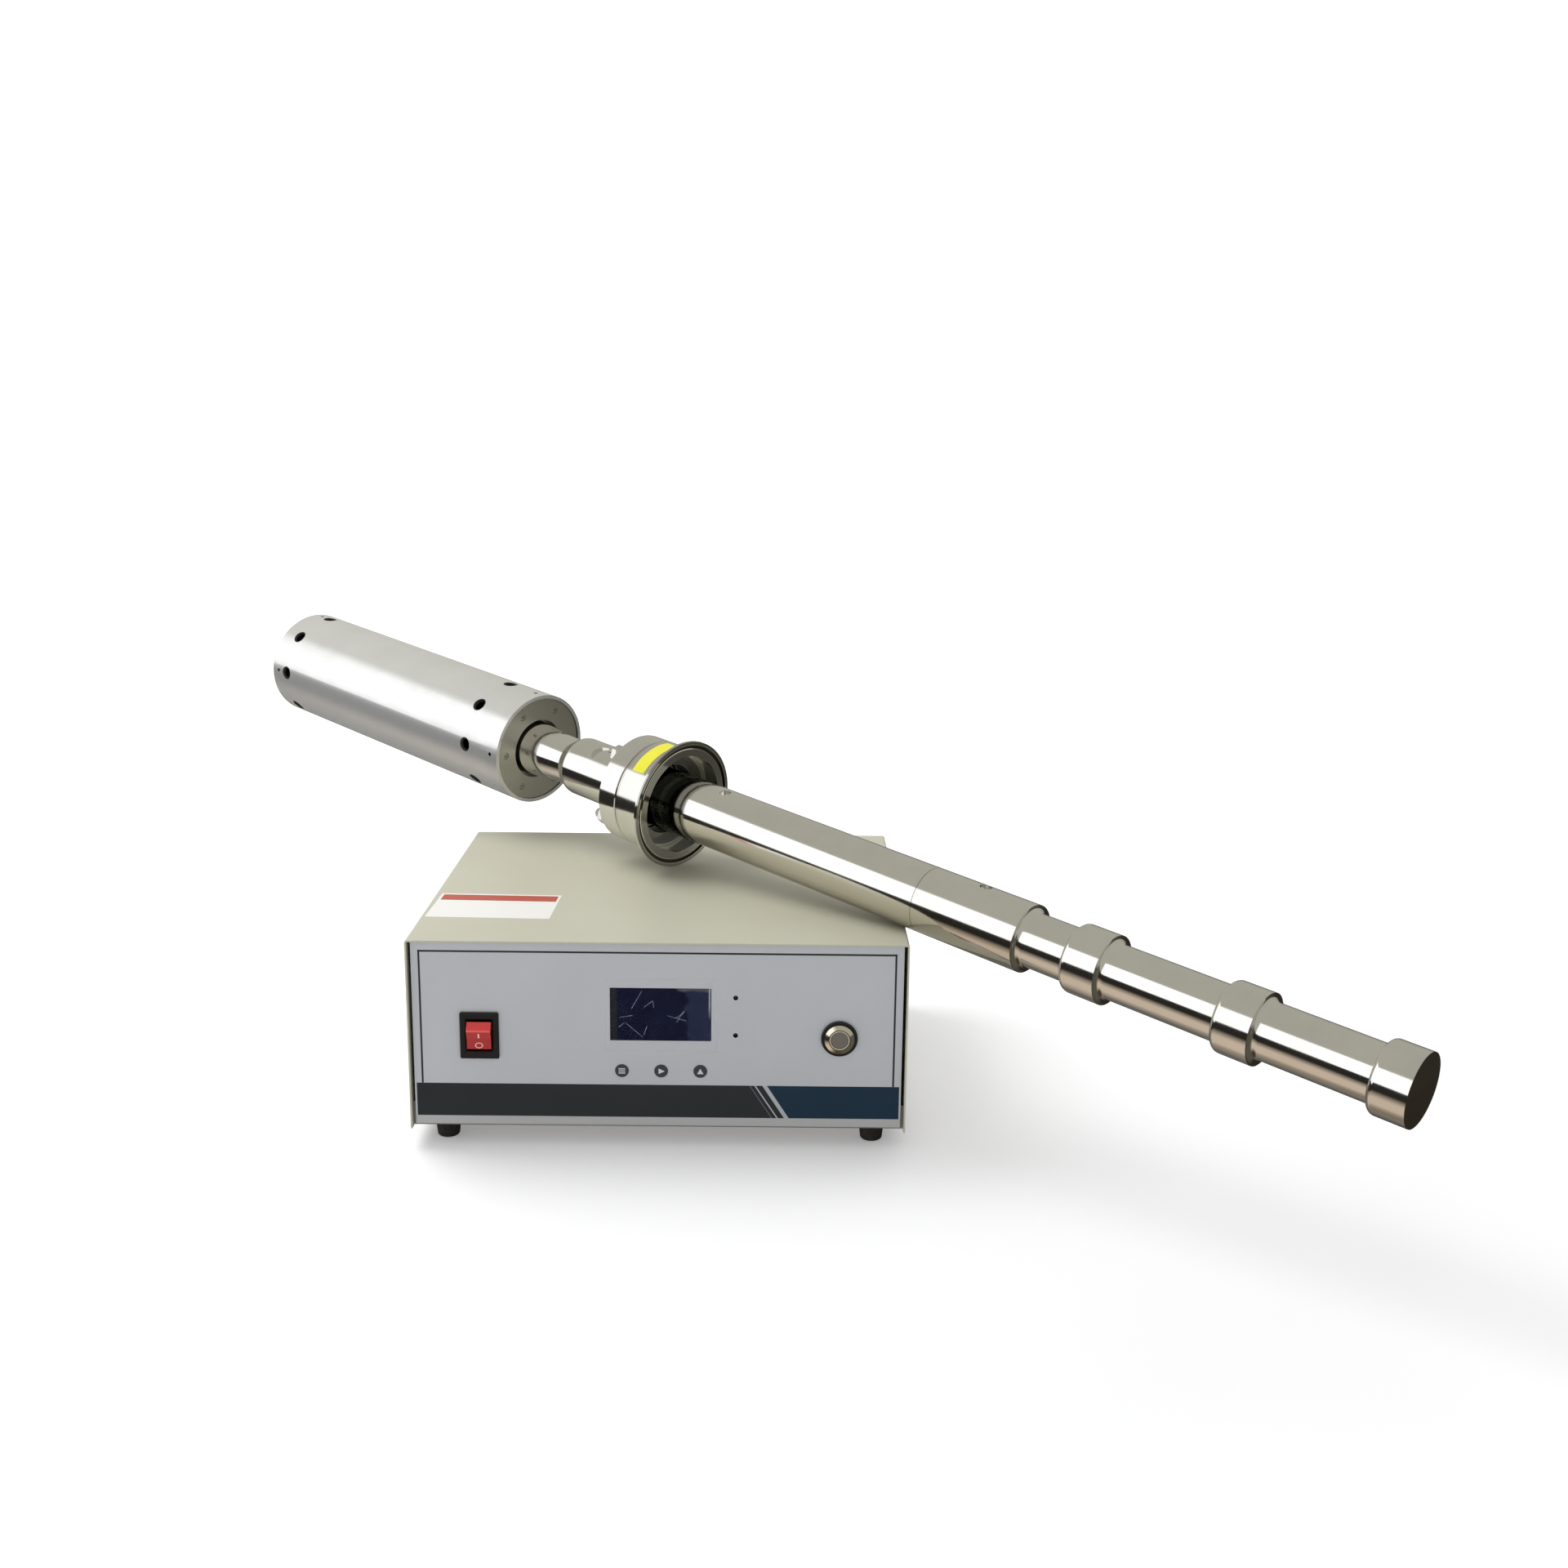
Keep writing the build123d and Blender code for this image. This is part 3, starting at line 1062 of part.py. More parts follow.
with BuildPart() as cap_screws:
    with BuildSketch(across_probe(CAP_FRONT - CAP_SCREW_SINK)):
        with PolarLocations(CAP_SCREW_RING_R, CAP_SCREWS, start_angle=CAP_SCREW_TURN):
            Circle(CAP_SCREW_HEAD_R)
    extrude(amount=-CAP_SCREW_HEAD_H)
    with BuildSketch(across_probe(CAP_FRONT - CAP_SCREW_SINK - CAP_SCREW_HEAD_H)):
        with PolarLocations(CAP_SCREW_RING_R, CAP_SCREWS, start_angle=CAP_SCREW_TURN):
            Circle(CAP_SCREW_R)
    extrude(amount=CAP_SCREW_SINK + CAP_SCREW_HEAD_H - CAP_T - HORN_FLANGE_T / 2)
save(cap_screws, "cap_screws")

# Back cap with the cable socket.
BACK_CAP_OUT = HOUSING_BACK + CAP_SINK
with BuildPart() as back_cap:
    with BuildSketch(across_probe(BACK_CAP_OUT)):
        Circle(TUBE_BORE_R - CAP_GAP)
        Circle(CABLE_BODY_R + THREAD_GAP, mode=Mode.SUBTRACT)
    extrude(amount=CAP_T)
    for count in range(SIDE_SCREWS):
        with Locations(out_of_probe(BACK_SCREW_AT, TUBE_BORE_R - CAP_GAP, FULL_TURN * count / SIDE_SCREWS)):
            Hole(SIDE_SCREW_R + THREAD_GAP, depth=SIDE_SCREW_L)
save(back_cap, "back_cap")

with BuildPart() as side_screws:
    for station in (FRONT_SCREW_AT, BACK_SCREW_AT):
        for count in range(SIDE_SCREWS):
            with BuildSketch(out_of_probe(station, HOUSING_R - SIDE_SCREW_SINK, FULL_TURN * count / SIDE_SCREWS)):
                Circle(SIDE_SCREW_R)
            extrude(amount=-SIDE_SCREW_L)
save(side_screws, "side_screws")

CABLE_END = BACK_CAP_OUT - CABLE_PLATE_T - CABLE_BARREL_L
cable_socket = probe_turning([
    (CABLE_END, CABLE_BARREL_R - CABLE_WALL), (CABLE_END, CABLE_BARREL_R),
    (BACK_CAP_OUT - CABLE_PLATE_T, CABLE_BARREL_R), (BACK_CAP_OUT - CABLE_PLATE_T, CABLE_PLATE_R),
    (BACK_CAP_OUT, CABLE_PLATE_R), (BACK_CAP_OUT, CABLE_BODY_R), (BACK_CAP_OUT + CABLE_BODY_L, CABLE_BODY_R),
    (BACK_CAP_OUT + CABLE_BODY_L, 0), (CABLE_END + CABLE_FACE_SINK, 0),
    (CABLE_END + CABLE_FACE_SINK, CABLE_BARREL_R - CABLE_WALL)])
save(cable_socket, "cable_socket")

# Transducer horn: its flange is screwed to the back of the front cap, its neck tapers to the booster.
FLANGE_FACE = CAP_BACK
HORN_BACK = FLANGE_FACE - HORN_FLANGE_T - HORN_BACK_L
STUD_HALF = STUD_L / 2
with BuildPart() as transducer_horn:
    with BuildSketch(along_probe()):
        with BuildLine():
            Polyline((HORN_BACK, DRAWBOLT_R + THREAD_GAP), (HORN_BACK, HORN_BACK_R),
                     (FLANGE_FACE - HORN_FLANGE_T, HORN_BACK_R), (FLANGE_FACE - HORN_FLANGE_T, HORN_FLANGE_R),
                     (FLANGE_FACE, HORN_FLANGE_R), (FLANGE_FACE, HORN_NECK_R), (HORN_END, HORN_END_R),
                     (HORN_END, STUD_R + THREAD_GAP), (HORN_END - STUD_HALF, STUD_R + THREAD_GAP),
                     (HORN_END - STUD_HALF, 0), (HORN_BACK + DRAWBOLT_GRIP, 0),
                     (HORN_BACK + DRAWBOLT_GRIP, DRAWBOLT_R + THREAD_GAP), close=True)
        make_face()
    revolve(axis=PROBE_AXIS)
    with Locations(across_probe(FLANGE_FACE)):
        with PolarLocations(CAP_SCREW_RING_R, CAP_SCREWS, start_angle=CAP_SCREW_TURN):
            Hole(CAP_SCREW_R + THREAD_GAP, depth=HORN_FLANGE_T)
save(transducer_horn, "transducer_horn")

# Piezo stack: ceramic rings with a tabbed contact plate behind each one.
STACK_PITCH = CERAMIC_T + PLATE_T
with BuildPart() as ceramic_rings:
    for count in range(CERAMICS):
        with BuildSketch(across_probe(HORN_BACK - count * STACK_PITCH)):
            Circle(CERAMIC_R)
            Circle(CERAMIC_HOLE_R, mode=Mode.SUBTRACT)
        extrude(amount=-CERAMIC_T)
save(ceramic_rings, "ceramic_rings")

with BuildPart() as contact_plates:
    for count in range(CERAMICS):
        with BuildSketch(across_probe(HORN_BACK - count * STACK_PITCH - CERAMIC_T)):
            Circle(CERAMIC_R)
            with Locations((0, CERAMIC_R if count % 2 else -CERAMIC_R)):
                Rectangle(TAB_W, 2 * TAB_L)
            Circle(CERAMIC_HOLE_R, mode=Mode.SUBTRACT)
        extrude(amount=-PLATE_T)
save(contact_plates, "contact_plates")

MASS_FRONT = HORN_BACK - CERAMICS * STACK_PITCH
with BuildPart() as back_mass:
    with BuildSketch(across_probe(MASS_FRONT)):
        Circle(BACK_MASS_R)
        Circle(DRAWBOLT_R + THREAD_GAP, mode=Mode.SUBTRACT)
    extrude(amount=-BACK_MASS_L)
    back_rims = back_mass.edges().filter_by(GeomType.CIRCLE).sort_by(PROBE_AXIS)[:2]
    chamfer(back_rims.sort_by(SortBy.RADIUS)[-1], BACK_MASS_EDGE)
save(back_mass, "back_mass")

HEAD_SEAT = MASS_FRONT - BACK_MASS_L
with BuildPart() as draw_bolt:
    with BuildSketch(across_probe(HEAD_SEAT)):
        Circle(DRAWBOLT_HEAD_R)
    extrude(amount=-DRAWBOLT_HEAD_L)
    with BuildSketch(across_probe(HEAD_SEAT - DRAWBOLT_HEAD_L)):
        RegularPolygon(DRAWBOLT_SOCKET / 2, 6, major_radius=False)
    extrude(amount=DRAWBOLT_HEAD_L / 2, mode=Mode.SUBTRACT)
    with BuildSketch(across_probe(HEAD_SEAT)):
        Circle(DRAWBOLT_R)
    extrude(amount=HORN_BACK + DRAWBOLT_GRIP - THREAD_GAP - HEAD_SEAT)
save(draw_bolt, "draw_bolt")

# Booster: a cone up to the rod's diameter, and a thick node flange clamped in the hub.
NODE_BACK = NODE_FRONT - NODE_T
with BuildPart() as booster:
    with BuildSketch(along_probe()) as booster_outline:
        with BuildLine():
            Polyline((HORN_END, STUD_R + THREAD_GAP), (HORN_END, HORN_END_R),
                     (HORN_END + BOOSTER_CONE_L, ROD_R),
                     (NODE_BACK, ROD_R), (NODE_BACK, NODE_R), (NODE_FRONT, NODE_R), (NODE_FRONT, ROD_R),
                     (BOOSTER_END, ROD_R), (BOOSTER_END, STUD_R + THREAD_GAP),
                     (BOOSTER_END - STUD_HALF, STUD_R + THREAD_GAP), (BOOSTER_END - STUD_HALF, 0),
                     (HORN_END + STUD_HALF, 0), (HORN_END + STUD_HALF, STUD_R + THREAD_GAP), close=True)
        make_face()
        cone_top = [v for v in booster_outline.vertices()
                    if abs(v.X - HORN_END - BOOSTER_CONE_L) < PIN_GAP and abs(v.Y - ROD_R) < PIN_GAP]
        fillet(cone_top, BOOSTER_CONE_ROUND)
    revolve(axis=PROBE_AXIS)
    for turn in (BOOSTER_SPANNER_TURN, BOOSTER_SPANNER_TURN + 180):
        with Locations(out_of_probe(BOOSTER_SPANNER_AT, ROD_R, turn)):
            Hole(BOOSTER_SPANNER_R, depth=BOOSTER_SPANNER_DEPTH)
save(booster, "booster")

# Hub plate: closes the node's pocket from behind, held by studs and nuts.
POCKET_R = NODE_R + HUB_GAP
with BuildPart() as hub_plate:
    with BuildSketch(along_probe()):
        with BuildLine():
            Polyline((HUB_BACK, ROD_R + HUB_GAP), (HUB_BACK, HUB_R - HUB_EDGE), (HUB_BACK + HUB_EDGE, HUB_R),
                     (NODE_FRONT - HUB_EDGE, HUB_R), (NODE_FRONT, HUB_R - HUB_EDGE), (NODE_FRONT, POCKET_R),
                     (NODE_BACK - SEAL_T, POCKET_R), (NODE_BACK - SEAL_T, ROD_R + HUB_GAP), close=True)
        make_face()
    revolve(axis=PROBE_AXIS)
    with Locations(across_probe(NODE_FRONT)):
        with PolarLocations(HUB_STUD_RING_R, HUB_STUDS, start_angle=HUB_STUD_TURN):
            Hole(HUB_STUD_R + THREAD_GAP, depth=NODE_FRONT - HUB_BACK)
save(hub_plate, "hub_plate")

with BuildPart() as node_seals:
    for station, inner in ((NODE_BACK - SEAL_T, ROD_R + 2 * HUB_GAP), (NODE_FRONT, COLLAR_PLATE_R + HUB_GAP)):
        with BuildSketch(across_probe(station)):
            Circle(NODE_R)
            Circle(inner, mode=Mode.SUBTRACT)
        extrude(amount=SEAL_T)
save(node_seals, "node_seals")

# Flanged collar: a sanitary clamp flange with its gasket groove, open round the rod. A relief
# groove runs round it where it meets the hub plate.
SLOPE_RUN = (RIM_R - HUB_R) * sin(radians(RIM_SLOPE)) / cos(radians(RIM_SLOPE))
PLATE_BACK = NODE_FRONT + SEAL_T
with BuildPart() as flange_collar:
    with BuildSketch(along_probe()):
        with BuildLine():
            Polyline((NODE_FRONT, POCKET_R), (NODE_FRONT, HUB_R - JOINT_GROOVE_DEPTH),
                     (NODE_FRONT + JOINT_GROOVE_W, HUB_R - JOINT_GROOVE_DEPTH),
                     (NODE_FRONT + JOINT_GROOVE_W, HUB_R),
                     (-RIM_T - SLOPE_RUN, HUB_R), (-RIM_T, RIM_R), (0, RIM_R),
                     (0, GROOVE_R + GROOVE_W / 2), (-GROOVE_DEPTH, GROOVE_R + GROOVE_W / 2),
                     (-GROOVE_DEPTH, GROOVE_R - GROOVE_W / 2), (0, GROOVE_R - GROOVE_W / 2),
                     (0, COLLAR_BORE_R),
                     (COLLAR_RING_T - COLLAR_BORE_DEPTH, COLLAR_BORE_R),
                     (COLLAR_RING_T - COLLAR_BORE_DEPTH, COLLAR_BORE_R - COLLAR_RING_W),
                     (-COLLAR_BORE_DEPTH, COLLAR_BORE_R - COLLAR_RING_W),
                     (-COLLAR_BORE_DEPTH, COLLAR_PLATE_R), (PLATE_BACK, COLLAR_PLATE_R),
                     (PLATE_BACK, POCKET_R), close=True)
        make_face()
    revolve(axis=PROBE_AXIS)
    with Locations(Plane(origin=FLANGE + AIM * NODE_FRONT, x_dir=RAISE, z_dir=-AIM)):
        with PolarLocations(HUB_STUD_RING_R, HUB_STUDS, start_angle=-HUB_STUD_TURN):
            Hole(HUB_STUD_R + THREAD_GAP, depth=HUB_STUD_IN + THREAD_GAP)
save(flange_collar, "flange_collar")

with BuildPart() as hub_studs:
    with BuildSketch(across_probe(HUB_BACK - HUB_STUD_OUT)):
        with PolarLocations(HUB_STUD_RING_R, HUB_STUDS, start_angle=HUB_STUD_TURN):
            Circle(HUB_STUD_R)
    extrude(amount=NODE_FRONT + HUB_STUD_IN - HUB_BACK + HUB_STUD_OUT)
    with BuildSketch(across_probe(HUB_BACK)):
        with PolarLocations(HUB_STUD_RING_R, HUB_STUDS, start_angle=HUB_STUD_TURN):
            Circle(HUB_WASHER_R)
    extrude(amount=-HUB_WASHER_T)
    with BuildSketch(across_probe(HUB_BACK - HUB_WASHER_T)):
        with PolarLocations(HUB_STUD_RING_R, HUB_STUDS, start_angle=HUB_STUD_TURN):
            RegularPolygon(HUB_NUT_FLATS / 2, 6, major_radius=False)
    extrude(amount=-HUB_NUT_T)
save(hub_studs, "hub_studs")

# Blank yellow label, wrapped round the top of the collar.
with BuildPart() as collar_label:
    label_turn = radians(COLLAR_LABEL_START)
    label_out = RAISE * cos(label_turn) + SIDE * sin(label_turn)
    with BuildSketch(Plane(origin=FLANGE, x_dir=AIM, z_dir=AIM.cross(label_out))):
        with BuildLine():
            Polyline((COLLAR_LABEL_BACK, HUB_R), (COLLAR_LABEL_FRONT, HUB_R),
                     (COLLAR_LABEL_FRONT, HUB_R + LABEL_T), (COLLAR_LABEL_BACK, HUB_R + LABEL_T), close=True)
        make_face()
    revolve(axis=PROBE_AXIS, revolution_arc=COLLAR_LABEL_END - COLLAR_LABEL_START)
save(collar_label, "collar_label")

# Extension rod: plain, with a pair of spanner holes near the flange.
with BuildPart() as extension_rod:
    with BuildSketch(along_probe()):
        with BuildLine():
            Polyline((BOOSTER_END, STUD_R + THREAD_GAP), (BOOSTER_END, ROD_R), (ROD_JOINT, ROD_R),
                     (ROD_JOINT, STUD_R + THREAD_GAP), (ROD_JOINT - STUD_HALF, STUD_R + THREAD_GAP),
                     (ROD_JOINT - STUD_HALF, 0), (BOOSTER_END + STUD_HALF, 0),
                     (BOOSTER_END + STUD_HALF, STUD_R + THREAD_GAP), close=True)
        make_face()
    revolve(axis=PROBE_AXIS)
    for turn in (ROD_SPANNER_TURN, ROD_SPANNER_TURN + 180):
        with Locations(out_of_probe(ROD_SPANNER_AT, ROD_R, turn)):
            Hole(SPANNER_R, depth=SPANNER_DEPTH)
save(extension_rod, "extension_rod")

# Probe: a stepped horn with rings that throw the sound out sideways, and a flat tip.
probe_corners = [(ROD_JOINT, STUD_R + THREAD_GAP), (ROD_JOINT, ROD_R), (PROBE_SHOULDER, ROD_R)]
neck_start = PROBE_SHOULDER
for ring_start, ring_end in RINGS:
    probe_corners += [(neck_start, NECK_R), (ring_start, NECK_R), (ring_start, ROD_R), (ring_end, ROD_R)]
    neck_start = ring_end
probe_corners += [(TIP_END, 0), (ROD_JOINT + STUD_HALF, 0), (ROD_JOINT + STUD_HALF, STUD_R + THREAD_GAP)]
neck_corners = [(station, NECK_R) for station in [PROBE_SHOULDER] + [ring[1] for ring in RINGS[:-1]]]
ring_corners = [(ring[0], ROD_R) for ring in RINGS]
with BuildPart() as probe_tip:
    with BuildSketch(along_probe()) as probe_outline:
        with BuildLine():
            Polyline(*probe_corners, close=True)
        make_face()
        for corners, radius in ((neck_corners, NECK_FILLET), (ring_corners, RING_ROUND)):
            chosen = [v for v in probe_outline.vertices()
                      if any(abs(v.X - x) < PIN_GAP and abs(v.Y - y) < PIN_GAP for x, y in corners)]
            fillet(chosen, radius)
    revolve(axis=PROBE_AXIS)
    for turn in (PROBE_SPANNER_TURN, PROBE_SPANNER_TURN + 180):
        with Locations(out_of_probe(PROBE_SPANNER_AT, ROD_R, turn)):
            Hole(SPANNER_R, depth=SPANNER_DEPTH)
save(probe_tip, "probe_tip")

# Coupling studs at the three joints of the probe.
with BuildPart() as coupling_studs:
    for station in (HORN_END, BOOSTER_END, ROD_JOINT):
        with BuildSketch(across_probe(station - STUD_HALF + THREAD_GAP)):
            Circle(STUD_R)
        extrude(amount=STUD_L - 2 * THREAD_GAP)
save(coupling_studs, "coupling_studs")
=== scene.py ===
from math import cos, pi, radians, sin, tau

import bmesh
import bpy
from mathutils import Matrix, Vector


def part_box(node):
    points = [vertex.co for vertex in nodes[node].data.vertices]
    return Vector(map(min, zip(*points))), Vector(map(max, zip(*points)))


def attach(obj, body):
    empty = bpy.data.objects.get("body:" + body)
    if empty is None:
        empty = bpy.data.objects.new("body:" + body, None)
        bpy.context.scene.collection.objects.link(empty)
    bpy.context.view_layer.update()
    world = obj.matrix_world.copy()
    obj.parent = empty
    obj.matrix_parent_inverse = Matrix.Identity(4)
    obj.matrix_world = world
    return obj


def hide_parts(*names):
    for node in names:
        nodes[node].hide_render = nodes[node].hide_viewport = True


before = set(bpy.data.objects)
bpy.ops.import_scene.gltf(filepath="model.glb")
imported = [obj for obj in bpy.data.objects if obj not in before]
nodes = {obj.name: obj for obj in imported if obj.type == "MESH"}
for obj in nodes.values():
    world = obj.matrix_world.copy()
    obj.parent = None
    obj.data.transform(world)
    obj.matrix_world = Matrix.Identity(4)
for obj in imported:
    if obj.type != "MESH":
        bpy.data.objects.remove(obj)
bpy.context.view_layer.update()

# The camera stands at eye height in front of the generator, a little to its right, and looks down
# at it. It is placed from the cover: its middle, its front edge and its top.
cover_low, cover_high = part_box("case_cover")
middle = (cover_low.x + cover_high.x) / 2
front = cover_low.y
top = cover_high.z
stand_right, stand_back, stand_up = 0.08228, 1.19986, 0.38628
look_down, look_aside, look_tipped = radians(12.654), radians(-0.314), radians(0.665)
facing_back = Matrix(((1, 0, 0), (0, 0, -1), (0, 1, 0)))
aim = (Matrix.Rotation(look_tipped, 3, "Z") @ Matrix.Rotation(look_down, 3, "X")
       @ Matrix.Rotation(look_aside, 3, "Y") @ facing_back)
camera = bpy.data.objects.new("Camera", bpy.data.cameras.new("Camera"))
camera.data.sensor_width = 36
camera.data.lens = 40.51
camera.data.clip_start = 0.05
camera_place = Matrix.Translation((middle + stand_right, front - stand_back, top + stand_up))
camera.matrix_world = camera_place @ Matrix((aim[0], -aim[1], -aim[2])).transposed().to_4x4()
bpy.context.scene.collection.objects.link(camera)
bpy.context.scene.camera = camera
bpy.context.scene.view_settings.view_transform = "Standard"


# The cover is one sheet of steel, folded down at both sides and powder-coated cream. The coat has a
# fine orange peel, is a little uneven in colour, and has thinned and greyed along its lower edges.
def shade(red, green, blue):
    """A colour as a screen shows it, 0 to 255, in linear light."""
    return tuple((c / 255 / 12.92) if c < 10.3 else ((c / 255 + 0.055) / 1.055) ** 2.4
                 for c in (red, green, blue)) + (1,)


class Level:
    """A number that varies over a surface, so that plain sums on it become nodes."""

    def __init__(self, finish, socket):
        self.finish = finish
        self.socket = socket

    def sum(self, operation, *terms, clamp=False):
        return self.finish.node("ShaderNodeMath", {"operation": operation, "use_clamp": clamp},
                                dict(enumerate(terms)))

    def __add__(self, other):
        return self.sum("ADD", self, other)

    def __radd__(self, other):
        return self.sum("ADD", other, self)

    def __sub__(self, other):
        return self.sum("SUBTRACT", self, other)

    def __rsub__(self, other):
        return self.sum("SUBTRACT", other, self)

    def __mul__(self, other):
        return self.sum("MULTIPLY", self, other)

    def __truediv__(self, other):
        return self.sum("DIVIDE", self, other)

    def __pow__(self, other):
        return self.sum("POWER", self, other)

    def __abs__(self):
        return self.sum("ABSOLUTE", self)

    def over(self, edge_highlight, soft):
        """0 below the edge and 1 above it, blurred over that width."""
        return self.sum("MULTIPLY_ADD", self - edge_highlight, 1 / soft, 0.5, clamp=True)

    def between(self, low, high, soft):
        """1 from the low edge to the high one and 0 outside them."""
        return self.over(low, soft) * (1 - self.over(high, soft))


class Finish:
    """One material, built up from a Principled shader."""

    def __init__(self, name, colour, roughness, metallic=0.0, **constants):
        self.material = bpy.data.materials.new(name)
        self.material.use_nodes = True
        self.tree = self.material.node_tree
        self.shader = self.tree.nodes["Principled BSDF"]
        self.feed("Base Color", colour)
        self.feed("Roughness", roughness)
        self.feed("Metallic", metallic)
        for socket, value in constants.items():
            self.shader.inputs[socket.replace("_", " ")].default_value = value

    def node(self, kind, settings=(), sockets=(), output=0):
        """A new node, with its settings and what goes into its sockets, taken at one output."""
        made = self.tree.nodes.new(kind)
        for name, value in dict(settings).items():
            setattr(made, name, value)
        for name, value in dict(sockets).items():
            if isinstance(value, Level):
                self.tree.links.new(value.socket, made.inputs[name])
            else:
                made.inputs[name].default_value = value
        return Level(self, made.outputs[output])

    def feed(self, socket, value):
        if isinstance(value, Level):
            self.tree.links.new(value.socket, self.shader.inputs[socket])
        else:
            self.shader.inputs[socket].default_value = value

    def place(self, centre=(0, 0, 0), turn=Matrix.Identity(3)):
        """The point on the piece, seen from a centre and along turned axes."""
        spot = self.node("ShaderNodeTexCoord", output="Object")
        return self.node("ShaderNodeMapping", {}, {
            "Vector": spot, "Location": -(turn @ Vector(centre)), "Rotation": turn.to_euler()})

    def parts(self, spot):
        """The three coordinates of a point."""
        apart = self.tree.nodes.new("ShaderNodeSeparateXYZ")
        self.tree.links.new(spot.socket, apart.inputs[0])
        return [Level(self, way) for way in apart.outputs]

    def noise(self, spot, size, detail=2.0, roughness=0.5):
        return self.node("ShaderNodeTexNoise", {}, {
            "Vector": spot, "Scale": 1 / size, "Detail": detail, "Roughness": roughness})

    def mixed(self, amount, first, second):
        return self.node("ShaderNodeMix", {"data_type": "RGBA"}, {0: amount, 6: first, 7: second}, output=2)

    def bumps(self, height, depth):
        return self.node("ShaderNodeBump", {}, {"Height": height, "Distance": depth, "Strength": 1.0})

    def wear(self, *names):
        """Gives the named frame nodes this material."""
        for name in names:
            nodes[name].data.materials.clear()
            nodes[name].data.materials.append(self.material)


fresh = shade(195, 193, 174)
cream = Finish("cream powder coat", fresh, 0.42)
spot = cream.place()
x, y, z = cream.parts(spot)
patch_size, peel_size, peel_depth, edge_height = 0.09, 0.0011, 0.00006, 0.004
patches = cream.noise(spot, patch_size, 3)
peel = cream.noise(spot, peel_size, 1)
low_edge = 1 - z.over(cover_low.z + edge_height, 0.006)
greyed = patches.over(0.55, 0.5) * 0.35 + low_edge * 0.25
cream.feed("Base Color", cream.mixed(greyed, fresh, shade(184, 182, 162)))
cream.feed("Roughness", 0.38 + patches * 0.12)
cream.feed("Normal", cream.bumps(peel, peel_depth))
cream.wear("case_cover", "back_panel")

# The chassis pan, the plain screws and studs and the transformer's clamp are zinc-plated steel. The
# plating is cloudy, so the gloss changes a little from place to place.
zinc = Finish("zinc plate", shade(176, 178, 180), 0.4, 0.9)
spot = zinc.place()
cloud = zinc.noise(spot, 0.02, 2)
zinc.feed("Roughness", 0.3 + cloud * 0.25)
zinc.feed("Base Color", zinc.mixed(cloud, shade(186, 188, 190), shade(150, 152, 156)))
zinc.wear("chassis_pan", "foot_screws", "toroid_clamp", "start_nut", "draw_bolt", "coupling_studs")


# The cover is held by four zinc-plated pan-head screws with a cross recess, two through each side.
# A small piece like this is built ring by ring along its axis and set in each of its places.
def reach(outline, size, turn):
    """How far the edge of a round, six-sided or crossed outline is from its middle."""
    if outline == "hex":
        return size / cos((turn + pi / 6) % (pi / 3) - pi / 6)
    if outline == "cross":
        narrow, flat, steep = size * 0.26, abs(cos(turn)) + 1e-9, abs(sin(turn)) + 1e-9
        return max(min(size / flat, narrow / steep), min(narrow / flat, size / steep))
    return size


def spun(name, rings, steps=48):
    """A mesh from rings along Z, each a height, an outline and a size. A size of 0 is a point."""
    made = bmesh.new()
    loops = []
    for height, outline, size in rings:
        loop = []
        for turn in [tau * k / steps for k in range(steps)] if size else [0]:
            out = reach(outline, size, turn)
            loop.append(made.verts.new((cos(turn) * out, sin(turn) * out, height)))
        loops.append(loop)
    for first, second in zip(loops, loops[1:]):
        for k in range(steps):
            corners = [first[k % len(first)], first[(k + 1) % len(first)],
                       second[(k + 1) % len(second)], second[k % len(second)]]
            made.faces.new(list(dict.fromkeys(corners)))
    bmesh.ops.recalc_face_normals(made, faces=made.faces)
    mesh = bpy.data.meshes.new(name)
    made.to_mesh(mesh)
    made.free()
    piece = bpy.data.objects.new(name, mesh)
    bpy.context.scene.collection.objects.link(piece)
    return piece


places = bpy.data.node_groups.new("set in its places", "GeometryNodeTree")
places.interface.new_socket("Places", in_out="INPUT", socket_type="NodeSocketGeometry")
piece_input = places.interface.new_socket("Piece", in_out="INPUT", socket_type="NodeSocketObject")
finish_input = places.interface.new_socket("Finish", in_out="INPUT", socket_type="NodeSocketMaterial")
places.interface.new_socket("Pieces", in_out="OUTPUT", socket_type="NodeSocketGeometry")
taken = places.nodes.new("NodeGroupInput")
given = places.nodes.new("NodeGroupOutput")
facing = places.nodes.new("GeometryNodeInputNamedAttribute")
facing.data_type = "FLOAT_VECTOR"
facing.inputs["Name"].default_value = "facing"
turned = places.nodes.new("FunctionNodeAlignRotationToVector")
turned.axis = "Z"
info = places.nodes.new("GeometryNodeObjectInfo")
copies = places.nodes.new("GeometryNodeInstanceOnPoints")
real = places.nodes.new("GeometryNodeRealizeInstances")
worn = places.nodes.new("GeometryNodeSetMaterial")
for source, target in ((taken.outputs["Places"], copies.inputs["Points"]),
                       (taken.outputs["Piece"], info.inputs["Object"]),
                       (info.outputs["Geometry"], copies.inputs["Instance"]),
                       (facing.outputs["Attribute"], turned.inputs["Vector"]),
                       (turned.outputs["Rotation"], copies.inputs["Rotation"]),
                       (copies.outputs["Instances"], real.inputs["Geometry"]),
                       (real.outputs["Geometry"], worn.inputs["Geometry"]),
                       (taken.outputs["Finish"], worn.inputs["Material"]),
                       (worn.outputs["Geometry"], given.inputs["Pieces"])):
    places.links.new(source, target)


